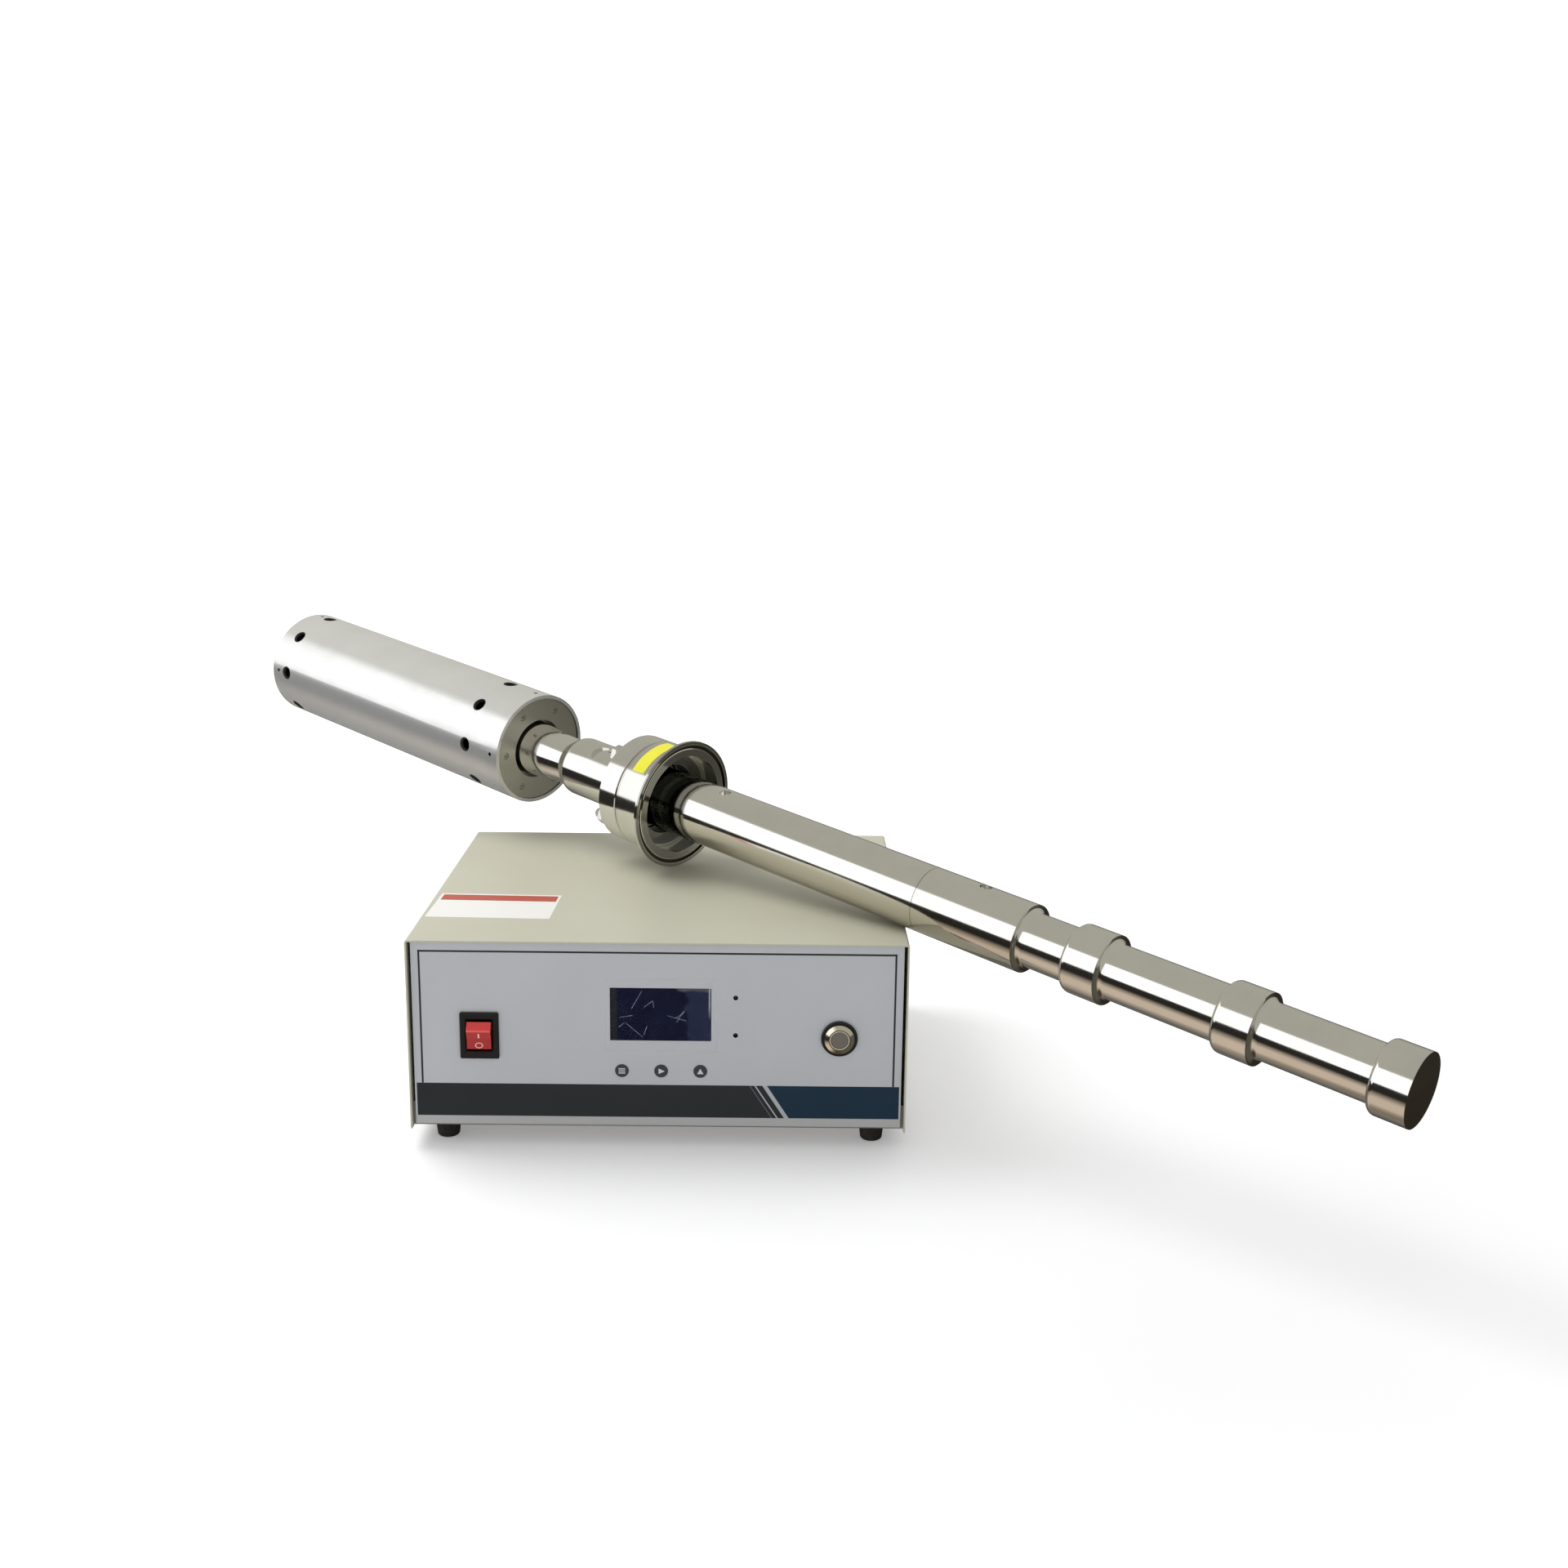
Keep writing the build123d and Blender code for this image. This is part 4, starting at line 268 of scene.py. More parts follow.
def set_in_places(name, piece, spots, finish, body, *replaced):
    """The same small piece at many spots, each a point and the way that it faces there."""
    mesh = bpy.data.meshes.new(name)
    mesh.from_pydata([at for at, way in spots], [], [])
    ways = mesh.attributes.new("facing", "FLOAT_VECTOR", "POINT")
    for item, (at, way) in zip(ways.data, spots):
        item.vector = way
    carrier = bpy.data.objects.new(name, mesh)
    bpy.context.scene.collection.objects.link(carrier)
    modifier = carrier.modifiers.new("places", "NODES")
    modifier.node_group = places
    modifier[piece_input.identifier] = piece
    modifier[finish_input.identifier] = finish.material
    ready = carrier.evaluated_get(bpy.context.evaluated_depsgraph_get())
    carrier.data = bpy.data.meshes.new_from_object(ready)
    carrier.modifiers.clear()
    bpy.data.objects.remove(piece)
    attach(carrier, body)
    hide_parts(*replaced)


def pan_screw(head_r, head_h, screw_r):
    """A pan-head screw with a cross recess, its head standing on the plane through its origin."""
    shank, recess_foot = 0.006, head_h * 0.25
    return spun("pan screw", [
        (-shank, "round", 0), (-shank, "round", screw_r), (0, "round", screw_r), (0, "round", head_r),
        (head_h * 0.55, "round", head_r), (head_h * 0.9, "round", head_r * 0.85),
        (head_h, "round", head_r * 0.6), (head_h, "cross", head_r * 0.52),
        (recess_foot, "cross", head_r * 0.4), (recess_foot, "round", 0)])


screw_low, screw_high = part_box("cover_screws")
screw_rise = (screw_low.z + screw_high.z) / 2
head_r, head_h, screw_r = 0.0036, 0.0018, 0.002
set_in_places("cover_screws_with_recess", pan_screw(head_r, head_h, screw_r),
              [((side, back, screw_rise), (way, 0, 0))
               for side, way in ((cover_low.x, -1), (cover_high.x, 1))
               for back in (screw_low.y + head_r, screw_high.y - head_r)],
              zinc, "case", "cover_screws")

# The feet are tapered pucks of moulded black rubber, each held by a screw up into the pan. They are
# dusty on their flanks. The seals inside the probe's hub are the same rubber.
rubber = Finish("black rubber", shade(24, 24, 25), 0.75)
spot = rubber.place()
dust = rubber.noise(spot, 0.004, 4)
rubber.feed("Base Color", rubber.mixed(dust.over(0.62, 0.3) * 0.5, shade(22, 22, 23), shade(52, 51, 49)))
rubber.feed("Normal", rubber.bumps(rubber.noise(spot, 0.0006, 2), 0.00005))
rubber.wear("rubber_feet", "node_seals")

# The front panel is an aluminium plate under a printed film. The print is a thin dark frame line, a
# charcoal band and a blue one along the foot, parted by slanted stripes, and a plain strip below.
plate = Finish("brushed plate", shade(182, 183, 185), 0.35, 1.0)
spot = plate.place()
x, y, z = plate.parts(spot)
grain = plate.noise(plate.node("ShaderNodeCombineXYZ", {}, {0: x * 0.02, 1: y, 2: z}), 0.0004, 2)
plate.feed("Roughness", 0.28 + grain * 0.2)
plate.wear("front_panel")

film = Finish("printed film", shade(190, 193, 196), 0.35)
spot = film.place((middle, 0, top))
x, y, z = film.parts(spot)
down = 0 - z
line_half, line_top, line_w, crisp = 0.1714, 0.0078, 0.0014, 0.0003
band_top, band_bottom, band_half = 0.1087, 0.1338, 0.1752
frame_line = (abs(x).between(line_half - line_w, line_half, crisp) * down.between(line_top, band_top, crisp)
              + down.between(line_top, line_top + line_w, crisp) * (1 - abs(x).over(line_half, crisp)))
in_band = down.between(band_top, band_bottom, crisp) * (1 - abs(x).over(band_half, crisp))
along = (down - band_top) / (band_bottom - band_top)
stripes = 0
blue_from, blue_slant = 0.0790, 0.0161
for left_top, left_foot, width, strength in ((0.0662, 0.0826, 0.0005, 0.35), (0.0698, 0.0862, 0.0010, 1.0),
                                             (0.0756, 0.0917, 0.0034, 0.9)):
    past_left = x - (along * (left_foot - left_top) + left_top)
    stripes = stripes + past_left.between(0, width, crisp) * strength
blue_side = (x - (along * blue_slant + blue_from)).over(0, crisp)
ground = film.noise(spot, 0.05, 3)
ink = film.mixed(blue_side, shade(38, 45, 49), shade(6, 47, 71))
ink = film.mixed(stripes, ink, shade(186, 190, 194))
base = film.mixed(ground, shade(194, 197, 200), shade(186, 189, 191))
base = film.mixed(down.over(band_bottom, crisp), base, shade(182, 183, 182))
printed = film.mixed(in_band, base, ink)
printed = film.mixed(frame_line.over(0.5, 0.9), printed, shade(36, 38, 42))
film.feed("Base Color", printed)
film.feed("Roughness", 0.32 + ground * 0.1)
film.feed("Normal", film.bumps(film.noise(spot, 0.0007, 2), 0.00003))
film.wear("panel_film")

# The display's window is a dark blue sheet, sunk a little in its opening in the panel. It is hazy
# and scratched, and is paler to the right and along its top with a painted reflection of the room.
low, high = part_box("display_window")
window_middle = (low + high) / 2
window_half = (high.x - low.x) / 2
window = Finish("dark window", shade(9, 15, 44), 0.2, Specular_IOR_Level=0.08)
spot = window.place(window_middle)
x, y, z = window.parts(spot)
haze = window.noise(spot, 0.008, 3)
painted_reflection_from, frame_w, glare_from, glare_rise = 0.0245, 0.005, 0.012, 0.0208
seen = window.mixed(haze, shade(7, 12, 38), shade(12, 18, 48))
# Painted reflection: the right part of the window is paler.
seen = window.mixed((x + haze * 0.012).over(painted_reflection_from, 0.002), seen, shade(36, 41, 68))
seen = window.mixed(x.over(frame_w - window_half, 0.0003), shade(34, 36, 41), seen)
# Painted reflection: the top right corner is paler still, as a glare.
glare = x.over(glare_from, 0.003) * (z + haze * 0.006).over(glare_rise, 0.002)
seen = window.mixed(glare, seen, shade(84, 86, 92))
scratches = 0
for start_x, start_z, end_x, end_z in (
        (-13.4, 17.7, -20.9, 4.3), (-12.0, 5.3, -5.6, 10.3), (-5.6, 10.3, -4.9, 5.0),
        (-30.3, -10.0, -26.1, -6.5), (-25.4, -6.5, -13.0, -17.4), (-9.9, -9.2, -12.3, -16.0),
        (5.0, -1.0, 18.4, -4.7), (9.9, -3.2, 17.7, 2.0), (-29.7, -2.5, -20.5, -1.0),
        (11.5, -6.0, 17.0, 3.5)):
    length = ((end_x - start_x) ** 2 + (end_z - start_z) ** 2) ** 0.5
    run, rise = (end_x - start_x) / length, (end_z - start_z) / length
    from_x, from_z = x - start_x / 1000, z - start_z / 1000
    scratches = scratches + (from_x * run + from_z * rise).between(0, length / 1000, 0.0006) * (
        1 - abs(from_x * rise - from_z * run).over(0.00018, 0.0002))
broken = window.noise(spot, 0.0012, 2).over(0.5, 0.3)
window.feed("Base Color", window.mixed(scratches * (broken * 0.6 + 0.25), seen, shade(156, 166, 196)))
window.wear("display_window")

# The clear film that protects the window in transport is still on. It reaches a little past the
# window all round. Its cut edges carry a painted highlight and a lifted strip near its right side a
# painted sheen, both more opaque and whitish than the rest.
film_w, film_h, film_t, film_right, film_drop = 0.081, 0.055, 0.0001, 0.0005, 0.0005
cut = bmesh.new()
bmesh.ops.create_cube(cut, size=1.0)
bmesh.ops.scale(cut, vec=(film_w, film_t, film_h), verts=cut.verts)
panel_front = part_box("panel_film")[0].y
film_x, film_z = window_middle.x + film_right, window_middle.z - film_drop
bmesh.ops.translate(cut, vec=(film_x, panel_front - film_t, film_z), verts=cut.verts)
clear_mesh = bpy.data.meshes.new("clear_protective_film")
cut.to_mesh(clear_mesh)
cut.free()
clear_film = bpy.data.objects.new("clear_protective_film", clear_mesh)
bpy.context.scene.collection.objects.link(clear_film)
clear = Finish("clear film", shade(226, 228, 230), 0.3, Specular_IOR_Level=0.1)
spot = clear.place((film_x, panel_front, film_z))
x, y, z = clear.parts(spot)
edge_w, lift_out, lift_in, lift_foot = 0.0006, 0.0012, 0.0022, 0.002
# Painted highlight on the cut edges and painted sheen on a lifted strip near the right side.
edge_highlight = (1 - (film_w / 2 - abs(x)).over(edge_w, 0.0003)) + (1 - (film_h / 2 - abs(z)).over(edge_w, 0.0003))
lifted_sheen = x.between(window_half - lift_in, window_half - lift_out, edge_w) * z.over(lift_foot, 0.01)
clear.feed("Alpha", edge_highlight * 0.05 + lifted_sheen * 0.3 + clear.noise(spot, 0.01, 2) * 0.01)
clear_mesh.materials.append(clear.material)
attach(clear_film, "case")

# The boards behind the panel and on the pan are coated with green solder mask over fine copper
# tracks.
green = Finish("solder mask", shade(20, 74, 44), 0.35)
spot = green.place()
tracks = green.noise(spot, 0.003, 1)
green.feed("Base Color", green.mixed(tracks.over(0.5, 0.05), shade(18, 70, 42), shade(30, 96, 58)))
green.wear("display_module", "control_board", "main_board")

# The two lamps are small dark lenses, sunk in their holes. The three keys are round caps of dark
# plastic that stand a little out of the film, each printed with a pale sign.
lens = Finish("dark lens", shade(26, 26, 28), 0.2)
spot = lens.place()
lens.feed("Base Color", lens.mixed(lens.noise(spot, 0.001), shade(22, 22, 24), shade(36, 34, 36)))
lens.wear("indicator_lamps")

crisp, bar_step, bar_reach, bar_half, arrow_half = 0.00015, 0.0016, 0.0024, 0.0004, 0.00125
for name in ("menu_key", "shift_key", "up_key"):
    low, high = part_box(name)
    cap = Finish(name.replace("_", " "), shade(58, 66, 68), 0.35)
    spot = cap.place((low + high) / 2)
    x, y, z = cap.parts(spot)
    if name == "menu_key":
        sign = 0
        for rise in (-bar_step, 0, bar_step):
            bar = z.between(rise - bar_half, rise + bar_half, crisp) * (1 - abs(x).over(bar_reach, crisp))
            sign = sign + bar
    elif name == "shift_key":
        arrow_foot, slope = -0.0018, 0.47
        sign = x.over(arrow_foot, crisp) * (1 - (x * slope + abs(z)).over(arrow_half, crisp))
    else:
        arrow_foot, slope = -0.0019, 0.55
        sign = z.over(arrow_foot, crisp) * (1 - (z * slope + abs(x)).over(arrow_half, crisp))
    cap.feed("Base Color", cap.mixed(sign.over(0.5, 0.9), shade(58, 66, 68), shade(206, 212, 214)))
    cap.feed("Normal", cap.bumps(cap.noise(spot, 0.0005, 2), 0.00002))
    cap.wear(name)

# The power switch is a moulded black body that snaps into the panel. The fan, the inlet and the fuse
# holder are the same plastic. Its red rocker is painted lighter on its upper face as painted light and
# darker on its lower face as painted shade, with a painted highlight along the ridge where they meet,
# and is printed with a bar and a ring below it.
black = Finish("black plastic", shade(22, 23, 25), 0.4)
spot = black.place()
black.feed("Base Color", black.mixed(black.noise(spot, 0.006, 3), shade(18, 19, 21), shade(30, 31, 33)))
black.feed("Normal", black.bumps(black.noise(spot, 0.0005, 2), 0.00004))
black.wear("switch_body", "start_trim", "fan_frame", "fan_rotor", "mains_inlet", "fuse_holder",
           "output_insert", "power_transistors")

red = Finish("red rocker", shade(196, 34, 34), 0.25, Coat_Weight=0.3)
low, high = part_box("switch_body")
spot = red.place(((low.x + high.x) / 2, low.y, (low.z + high.z) / 2))
x, y, z = red.parts(spot)
crisp, ridge_rise, ridge_w = 0.0002, 0.0046, 0.0003
bar_foot, bar_top, bar_half_w = -0.0008, 0.0029, 0.00045
ring_drop, ring_squash, ring_in, ring_out = 0.0066, 1.28, 0.0022, 0.0028
bar = z.between(bar_foot, bar_top, crisp) * (1 - abs(x).over(bar_half_w, crisp))
flat_z = (z + ring_drop) * ring_squash
ring = ((x * x + flat_z * flat_z) ** 0.5).between(ring_in, ring_out, crisp)
# Painted light: the upper face lighter, the lower face darker, and a painted highlight on the ridge.
ridge_highlight = z.between(ridge_rise - ridge_w, ridge_rise + ridge_w, crisp) * 0.5
faces = red.mixed(z.over(ridge_rise, 0.0003), shade(172, 34, 36), shade(238, 72, 70))
faces = red.mixed(ridge_highlight, faces, shade(246, 130, 124))
red.feed("Base Color", red.mixed((bar + ring).over(0.5, 0.9), faces, shade(250, 206, 200)))
red.wear("rocker")

# The inlet, the output socket and the fan are held to the back by zinc-plated pan-head screws with
# a cross recess, two, four and four of them. The fan's larger ones stand on the wires of its guard.
backwards = (0, 1, 0)
corners = [(side, rise) for side in (-1, 1) for rise in (-1, 1)]
inlet_x, inlet_z, inlet_reach = middle - 0.120, top - 0.092, 0.020
socket_x, socket_z, socket_reach = middle - 0.030, top - 0.066, 0.014
head_r, head_h, screw_r = 0.0028, 0.0018, 0.0015
socket_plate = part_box("connector_screws")[1].y - head_h
set_in_places("connector_screws_with_recess", pan_screw(head_r, head_h, screw_r),
              [((inlet_x + side * inlet_reach, socket_plate, inlet_z), backwards) for side in (-1, 1)]
              + [((socket_x + side * socket_reach, socket_plate, socket_z + rise * socket_reach), backwards)
                 for side, rise in corners],
              zinc, "case", "connector_screws")
fan_x, fan_z, fan_reach = middle + 0.105, top - 0.066, 0.03575
head_r, head_h, screw_r = 0.0038, 0.0022, 0.002
guard_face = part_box("fan_screws")[1].y - head_h
set_in_places("fan_screws_with_recess", pan_screw(head_r, head_h, screw_r),
              [((fan_x + side * fan_reach, guard_face, fan_z + rise * fan_reach), backwards)
               for side, rise in corners],
              zinc, "case", "fan_screws")

# The fan's guard is bent from chromed wire. The output socket beside it is turned, plated bright and
# threaded for the cable's coupling ring.
chrome = Finish("chrome", shade(214, 214, 212), 0.12, 1.0)
spot = chrome.place()
chrome.feed("Roughness", 0.08 + chrome.noise(spot, 0.003, 2) * 0.12)
chrome.wear("fan_guard")


def threaded(name, spot_of, way):
    """Bright plating with a fine thread cut along one of the piece's axes."""
    pitch, depth = 0.001, 0.00015
    metal = Finish(name, shade(216, 216, 214), 0.18, 1.0)
    along = metal.parts(spot_of(metal))[way]
    wave = metal.node("ShaderNodeMath", {"operation": "SINE"}, {0: along * (tau / pitch)})
    metal.feed("Roughness", 0.14 + metal.noise(metal.place(), 0.003, 2) * 0.1)
    metal.feed("Normal", metal.bumps(wave, depth))
    return metal


threaded("threaded socket", Finish.place, 1).wear("output_socket")

# The start button has a chromed head in a black trim ring. Its polished inner edge carries a painted
# highlight, a pale and less metallic ring, and the satin centre is the plunger that is pressed.
button = Finish("start button chrome", shade(226, 221, 206), 0.14, 1.0)
low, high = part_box("start_head")
spot = button.place((low + high) / 2)
x, y, z = button.parts(spot)
bevel_in, bevel_out = 0.0064, 0.0071
# Painted highlight: a pale, less metallic ring on the inner bevel.
inner_edge_highlight = ((x * x + z * z) ** 0.5).between(bevel_in, bevel_out, 0.0002)
button.feed("Base Color", button.mixed(inner_edge_highlight, shade(226, 221, 206), shade(250, 240, 214)))
button.feed("Metallic", 1 - inner_edge_highlight * 0.8)
button.feed("Roughness", 0.1 + button.noise(spot, 0.003, 2) * 0.1)
button.wear("start_head")

centre_cap = Finish("start button centre", shade(150, 146, 138), 0.4, 0.6)
spot = centre_cap.place()
centre_cap.feed("Roughness", 0.25 + centre_cap.noise(spot, 0.002, 2) * 0.2)
centre_cap.wear("start_plunger")

# The label on the cover is white coated paper, stuck on by hand, so it lies a little askew. It has a
# red head strip and is otherwise blank.
low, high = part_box("cover_label")
paper = Finish("cover label", shade(236, 235, 230), 0.4)
askew = Matrix.Rotation(radians(1.8), 3, "Z")
spot = paper.place(((low.x + high.x) / 2, (low.y + high.y) / 2, 0), askew)
x, y, z = paper.parts(spot)
strip_near, strip_far, strip_half, crisp = 0.0136, 0.0282, 0.0445, 0.0004
header = y.over(strip_near, crisp) * (1 - abs(x).over(strip_half, crisp)) * (1 - y.over(strip_far, crisp))
paper.feed("Base Color", paper.mixed(header, shade(236, 235, 230), shade(184, 84, 68)))
paper.feed("Normal", paper.bumps(paper.noise(spot, 0.004, 3), 0.00005))
paper.wear("cover_label")

# The inlet's prongs, the piezo stack's contact plates and the board spacers are plain brass, a
# little tarnished.
brass = Finish("brass", shade(196, 164, 92), 0.3, 1.0)
spot = brass.place()
brass.feed("Roughness", 0.2 + brass.noise(spot, 0.002, 2) * 0.2)
brass.wear("inlet_prongs", "board_standoffs", "contact_plates")

# Inside the case are storage capacitors in dark blue sleeves, a black anodised heat sink and a
# toroidal transformer wound with yellow tape. Inside the housing are the fired ceramic rings.
sleeve = Finish("capacitor sleeve", shade(28, 32, 66), 0.3)
spot = sleeve.place()
sleeve.feed("Base Color", sleeve.mixed(sleeve.noise(spot, 0.01), shade(24, 28, 60), shade(38, 42, 80)))
sleeve.wear("storage_capacitors")
fins = Finish("black anodise", shade(44, 44, 46), 0.45, 0.7)
spot = fins.place()
fins.feed("Roughness", 0.4 + fins.noise(spot, 0.005) * 0.2)
fins.wear("heat_sink")
tape = Finish("winding tape", shade(170, 120, 44), 0.4)
low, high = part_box("toroid_transformer")
spot = tape.place((low + high) / 2)
x, y, z = tape.parts(spot)
wrap_count = 60
round_core = tape.node("ShaderNodeMath", {"operation": "ARCTAN2"}, {0: y, 1: x})
wound = tape.node("ShaderNodeMath", {"operation": "SINE"}, {0: round_core * wrap_count})
tape.feed("Base Color", tape.mixed(wound * 0.5 + 0.5, shade(150, 100, 34), shade(196, 148, 62)))
tape.wear("toroid_transformer")
ceramic = Finish("ceramic", shade(206, 196, 170), 0.6)
spot = ceramic.place()
grains = ceramic.noise(spot, 0.003, 3)
ceramic.feed("Base Color", ceramic.mixed(grains, shade(200, 190, 162), shade(216, 208, 186)))
ceramic.wear("ceramic_rings")

# The probe's tip, rod, booster, horn and hub are turned and polished bright. Fine turning lines run
# round them and faint smears make the polish uneven. The rod's underside, and more faintly the tip's,
# is painted darker and warmer as painted shade, and inside the flange's mouth the rod and the
# booster's front end are painted darker as painted shade.
tip_low, tip_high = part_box("probe_tip")
tube_low, tube_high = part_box("housing_tube")
tip_middle = (tip_low + tip_high) / 2
tube_middle = (tube_low + tube_high) / 2
probe_aim = (tip_middle - tube_middle).normalized()
probe_up = (Vector((0, 0, 1)) - probe_aim * probe_aim.z).normalized()
probe_side = probe_aim.cross(probe_up)
along_probe = Matrix((probe_aim, probe_up, probe_side))
tube_to_flange = 0.3465
probe_flange = tube_middle + probe_aim * tube_to_flange


def polished(name, colour, roughness, smear=0.1, lines=0.00001):
    """Turned metal. It keeps its station from the flange's face and its distance from the axis."""
    line_size, smear_size, darker = 0.0012, 0.03, 0.9
    metal = Finish(name, colour, roughness, 1.0)
    spot = metal.place(probe_flange, along_probe)
    metal.station, metal.rise, metal.across = metal.parts(spot)
    metal.radius = (metal.across * metal.across + metal.rise * metal.rise) ** 0.5
    stretched = metal.node("ShaderNodeCombineXYZ", {}, {
        0: metal.station, 1: metal.across * 0.3, 2: metal.rise * 0.3})
    turned = metal.noise(stretched, line_size, 3)
    smears = metal.noise(spot, smear_size, 4, 0.6)
    metal.tone = metal.mixed(smears.over(0.5, 0.6), colour, tuple(c * darker for c in colour[:3]) + (1,))
    metal.feed("Roughness", roughness + smears * smear)
    metal.feed("Base Color", metal.tone)
    metal.feed("Normal", metal.bumps(turned, lines))
    return metal


bright = polished("polished steel", shade(236, 235, 232), 0.05)
joint_from, joint_to, shoulder = 0.2543, 0.2548, 0.342
mouth_from, mouth_to, rod_r = -0.033, 0.0135, 0.026
joint_line = bright.station.between(joint_from, joint_to, 0.0001)
# Painted shade: the rod and the booster's front end are darker inside the flange's mouth.
mouth_shade = bright.station.between(mouth_from, mouth_to, 0.0004) * (1 - bright.radius.over(rod_r, 0.0005))
# Painted shade: the underside of the rod, and more faintly of the tip, is darker and warmer.
underside_shade = (1 - bright.rise.over(0.002, 0.005)) * (1 - bright.station.over(shoulder, 0.001) * 0.45)
underside_shade = underside_shade * bright.station.over(0, 0.002) * 0.8
tone = bright.mixed(underside_shade, bright.tone, shade(204, 198, 184))
tone = bright.mixed(joint_line, tone, shade(120, 117, 108))
bright.feed("Base Color", bright.mixed(mouth_shade, tone, shade(172, 174, 170)))
bright.wear("extension_rod", "probe_tip", "hub_plate", "booster", "transducer_horn", "back_mass")

# The flange is turned from the same steel. Its face is painted a little darker as painted shade, with
# painted highlights on the lip and rim round the gasket groove and painted shade in the groove. Down
# in the bore it is painted darker as painted shade, with a painted highlight on the ledge and
# near-black painted shade in the throat.
flange_steel = polished("flange steel", shade(232, 231, 226), 0.07)
s, r = flange_steel.station, flange_steel.radius
groove_foot, bore_mouth, soft, crisp = -0.0016, -0.0004, 0.0004, 0.0002
lip_in, groove_in, groove_out, rim_in = 0.0464, 0.0472, 0.0500, 0.0508
bore_r, ledge_out, ledge_in, throat_r = 0.0414, 0.0408, 0.0386, 0.0292
on_face = s.over(groove_foot, soft)
in_bore = (1 - s.over(bore_mouth, soft)) * (1 - r.over(bore_r, crisp))
# Painted shade: the whole face is a little darker.
tone = flange_steel.mixed(on_face, flange_steel.tone, shade(182, 183, 179))
# Painted highlights on the lip and the rim, and painted shade in the gasket groove between them.
for inner, outer, tint in ((lip_in, groove_in, shade(245, 245, 240)),
                           (groove_in, groove_out, shade(84, 82, 72)),
                           (groove_out, rim_in, shade(225, 224, 216))):
    tone = flange_steel.mixed(on_face * r.between(inner, outer, crisp), tone, tint)
# Painted shade down in the bore, a painted highlight on its ledge, and near-black painted shade in the
# throat.
tone = flange_steel.mixed(in_bore, tone, shade(146, 147, 144))
tone = flange_steel.mixed(in_bore * r.between(ledge_in, ledge_out, crisp), tone, shade(226, 224, 216))
tone = flange_steel.mixed(in_bore * (1 - r.over(throat_r, crisp)), tone, shade(30, 29, 27))
for relief_back, relief_front, tint in ((-0.0342, -0.0327, shade(104, 94, 82)),
                                        (-0.0317, -0.0313, shade(150, 142, 130))):
    tone = flange_steel.mixed(s.between(relief_back, relief_front, crisp), tone, tint)
flange_steel.feed("Base Color", tone)
flange_steel.wear("flange_collar")

# The housing is an anodised aluminium tube with two rings of countersunk air holes. Its inside and a
# ring round the edge of each hole are painted near-black and non-metallic as painted shade. Its caps
# are turned and left satin.
anodised = polished("satin anodise", shade(242, 243, 242), 0.2, 0.08, 0.000003)
s, r = anodised.station, anodised.radius
tube_inside, tube_front, tube_back, crisp = 0.0483, -0.1784, -0.5146, 0.0002
# Painted shade: the tube's inside is near-black.
hole_and_inside_shade = (1 - r.over(tube_inside, 0.0001)) * (1 - s.over(tube_front, crisp)) * s.over(tube_back, crisp)
turn = anodised.node("ShaderNodeMath", {"operation": "ARCTAN2"}, {0: anodised.across, 1: anodised.rise})
hole_step, hole_edge = tau / 8, 0.0063
nearest = anodised.node("ShaderNodeMath", {"operation": "ROUND"}, {0: turn / hole_step})
aside = (turn - nearest * hole_step) * r
# Painted shade: a ring round each air hole, wider than its countersink, is near-black too.
for hole_station in (-0.221, -0.493):
    from_hole = ((s - hole_station) ** 2 + aside ** 2) ** 0.5
    hole_and_inside_shade = hole_and_inside_shade + (1 - from_hole.over(hole_edge, crisp))
anodised.feed("Base Color", anodised.mixed(hole_and_inside_shade, anodised.tone, shade(30, 30, 31)))
anodised.feed("Metallic", 0.75 - hole_and_inside_shade.over(0.5, 0.2) * 0.75)
anodised.wear("housing_tube")
cap_metal = polished("turned cap", shade(212, 211, 204), 0.3, 0.1, 0.000006)
cap_metal.wear("front_cap", "back_cap")


def round_probe(station, radius, turn):
    """A point beside the probe's axis, and the way out from the axis there."""
    outward = probe_up * cos(radians(turn)) + probe_side * sin(radians(turn))
    return probe_flange + probe_aim * station + outward * radius, outward


# Six socket screws hold the front cap, and small black grub screws pin both caps into the tube, four
# to each. All have a six-sided socket in their outer end.
screw_end, socket_foot = -0.009, -0.0018
head_foot, head_r, screw_r, socket_r = -0.0032, 0.0029, 0.002, 0.0013
socket_screw = spun("socket screw", [
    (screw_end, "round", 0), (screw_end, "round", screw_r), (head_foot, "round", screw_r),
    (head_foot, "round", head_r), (-0.0004, "round", head_r), (0, "round", 0.0025),
    (0, "hex", socket_r), (socket_foot, "hex", socket_r), (socket_foot, "round", 0)])
cap_face, screw_circle, first_screw = -0.1801, 0.0365, 33
set_in_places("cap_screws_with_socket", socket_screw,
              [(round_probe(cap_face, screw_circle, first_screw + 60 * k)[0], probe_aim) for k in range(6)],
              cap_metal, "probe", "cap_screws")
screw_r, socket_r = 0.0016, 0.0008
grub_screw = spun("grub screw", [
    (screw_end, "round", 0), (screw_end, "round", screw_r), (-0.0003, "round", screw_r),
    (0, "round", 0.0013), (0, "hex", socket_r), (socket_foot, "hex", socket_r),
    (socket_foot, "round", 0)], steps=24)
front_row, back_row, grub_circle = -0.187, -0.506, 0.0476
set_in_places("side_screws_with_socket", grub_screw,
              [round_probe(station, grub_circle, 90 * k) for station in (front_row, back_row)
               for k in range(4)],
              black, "probe", "side_screws")

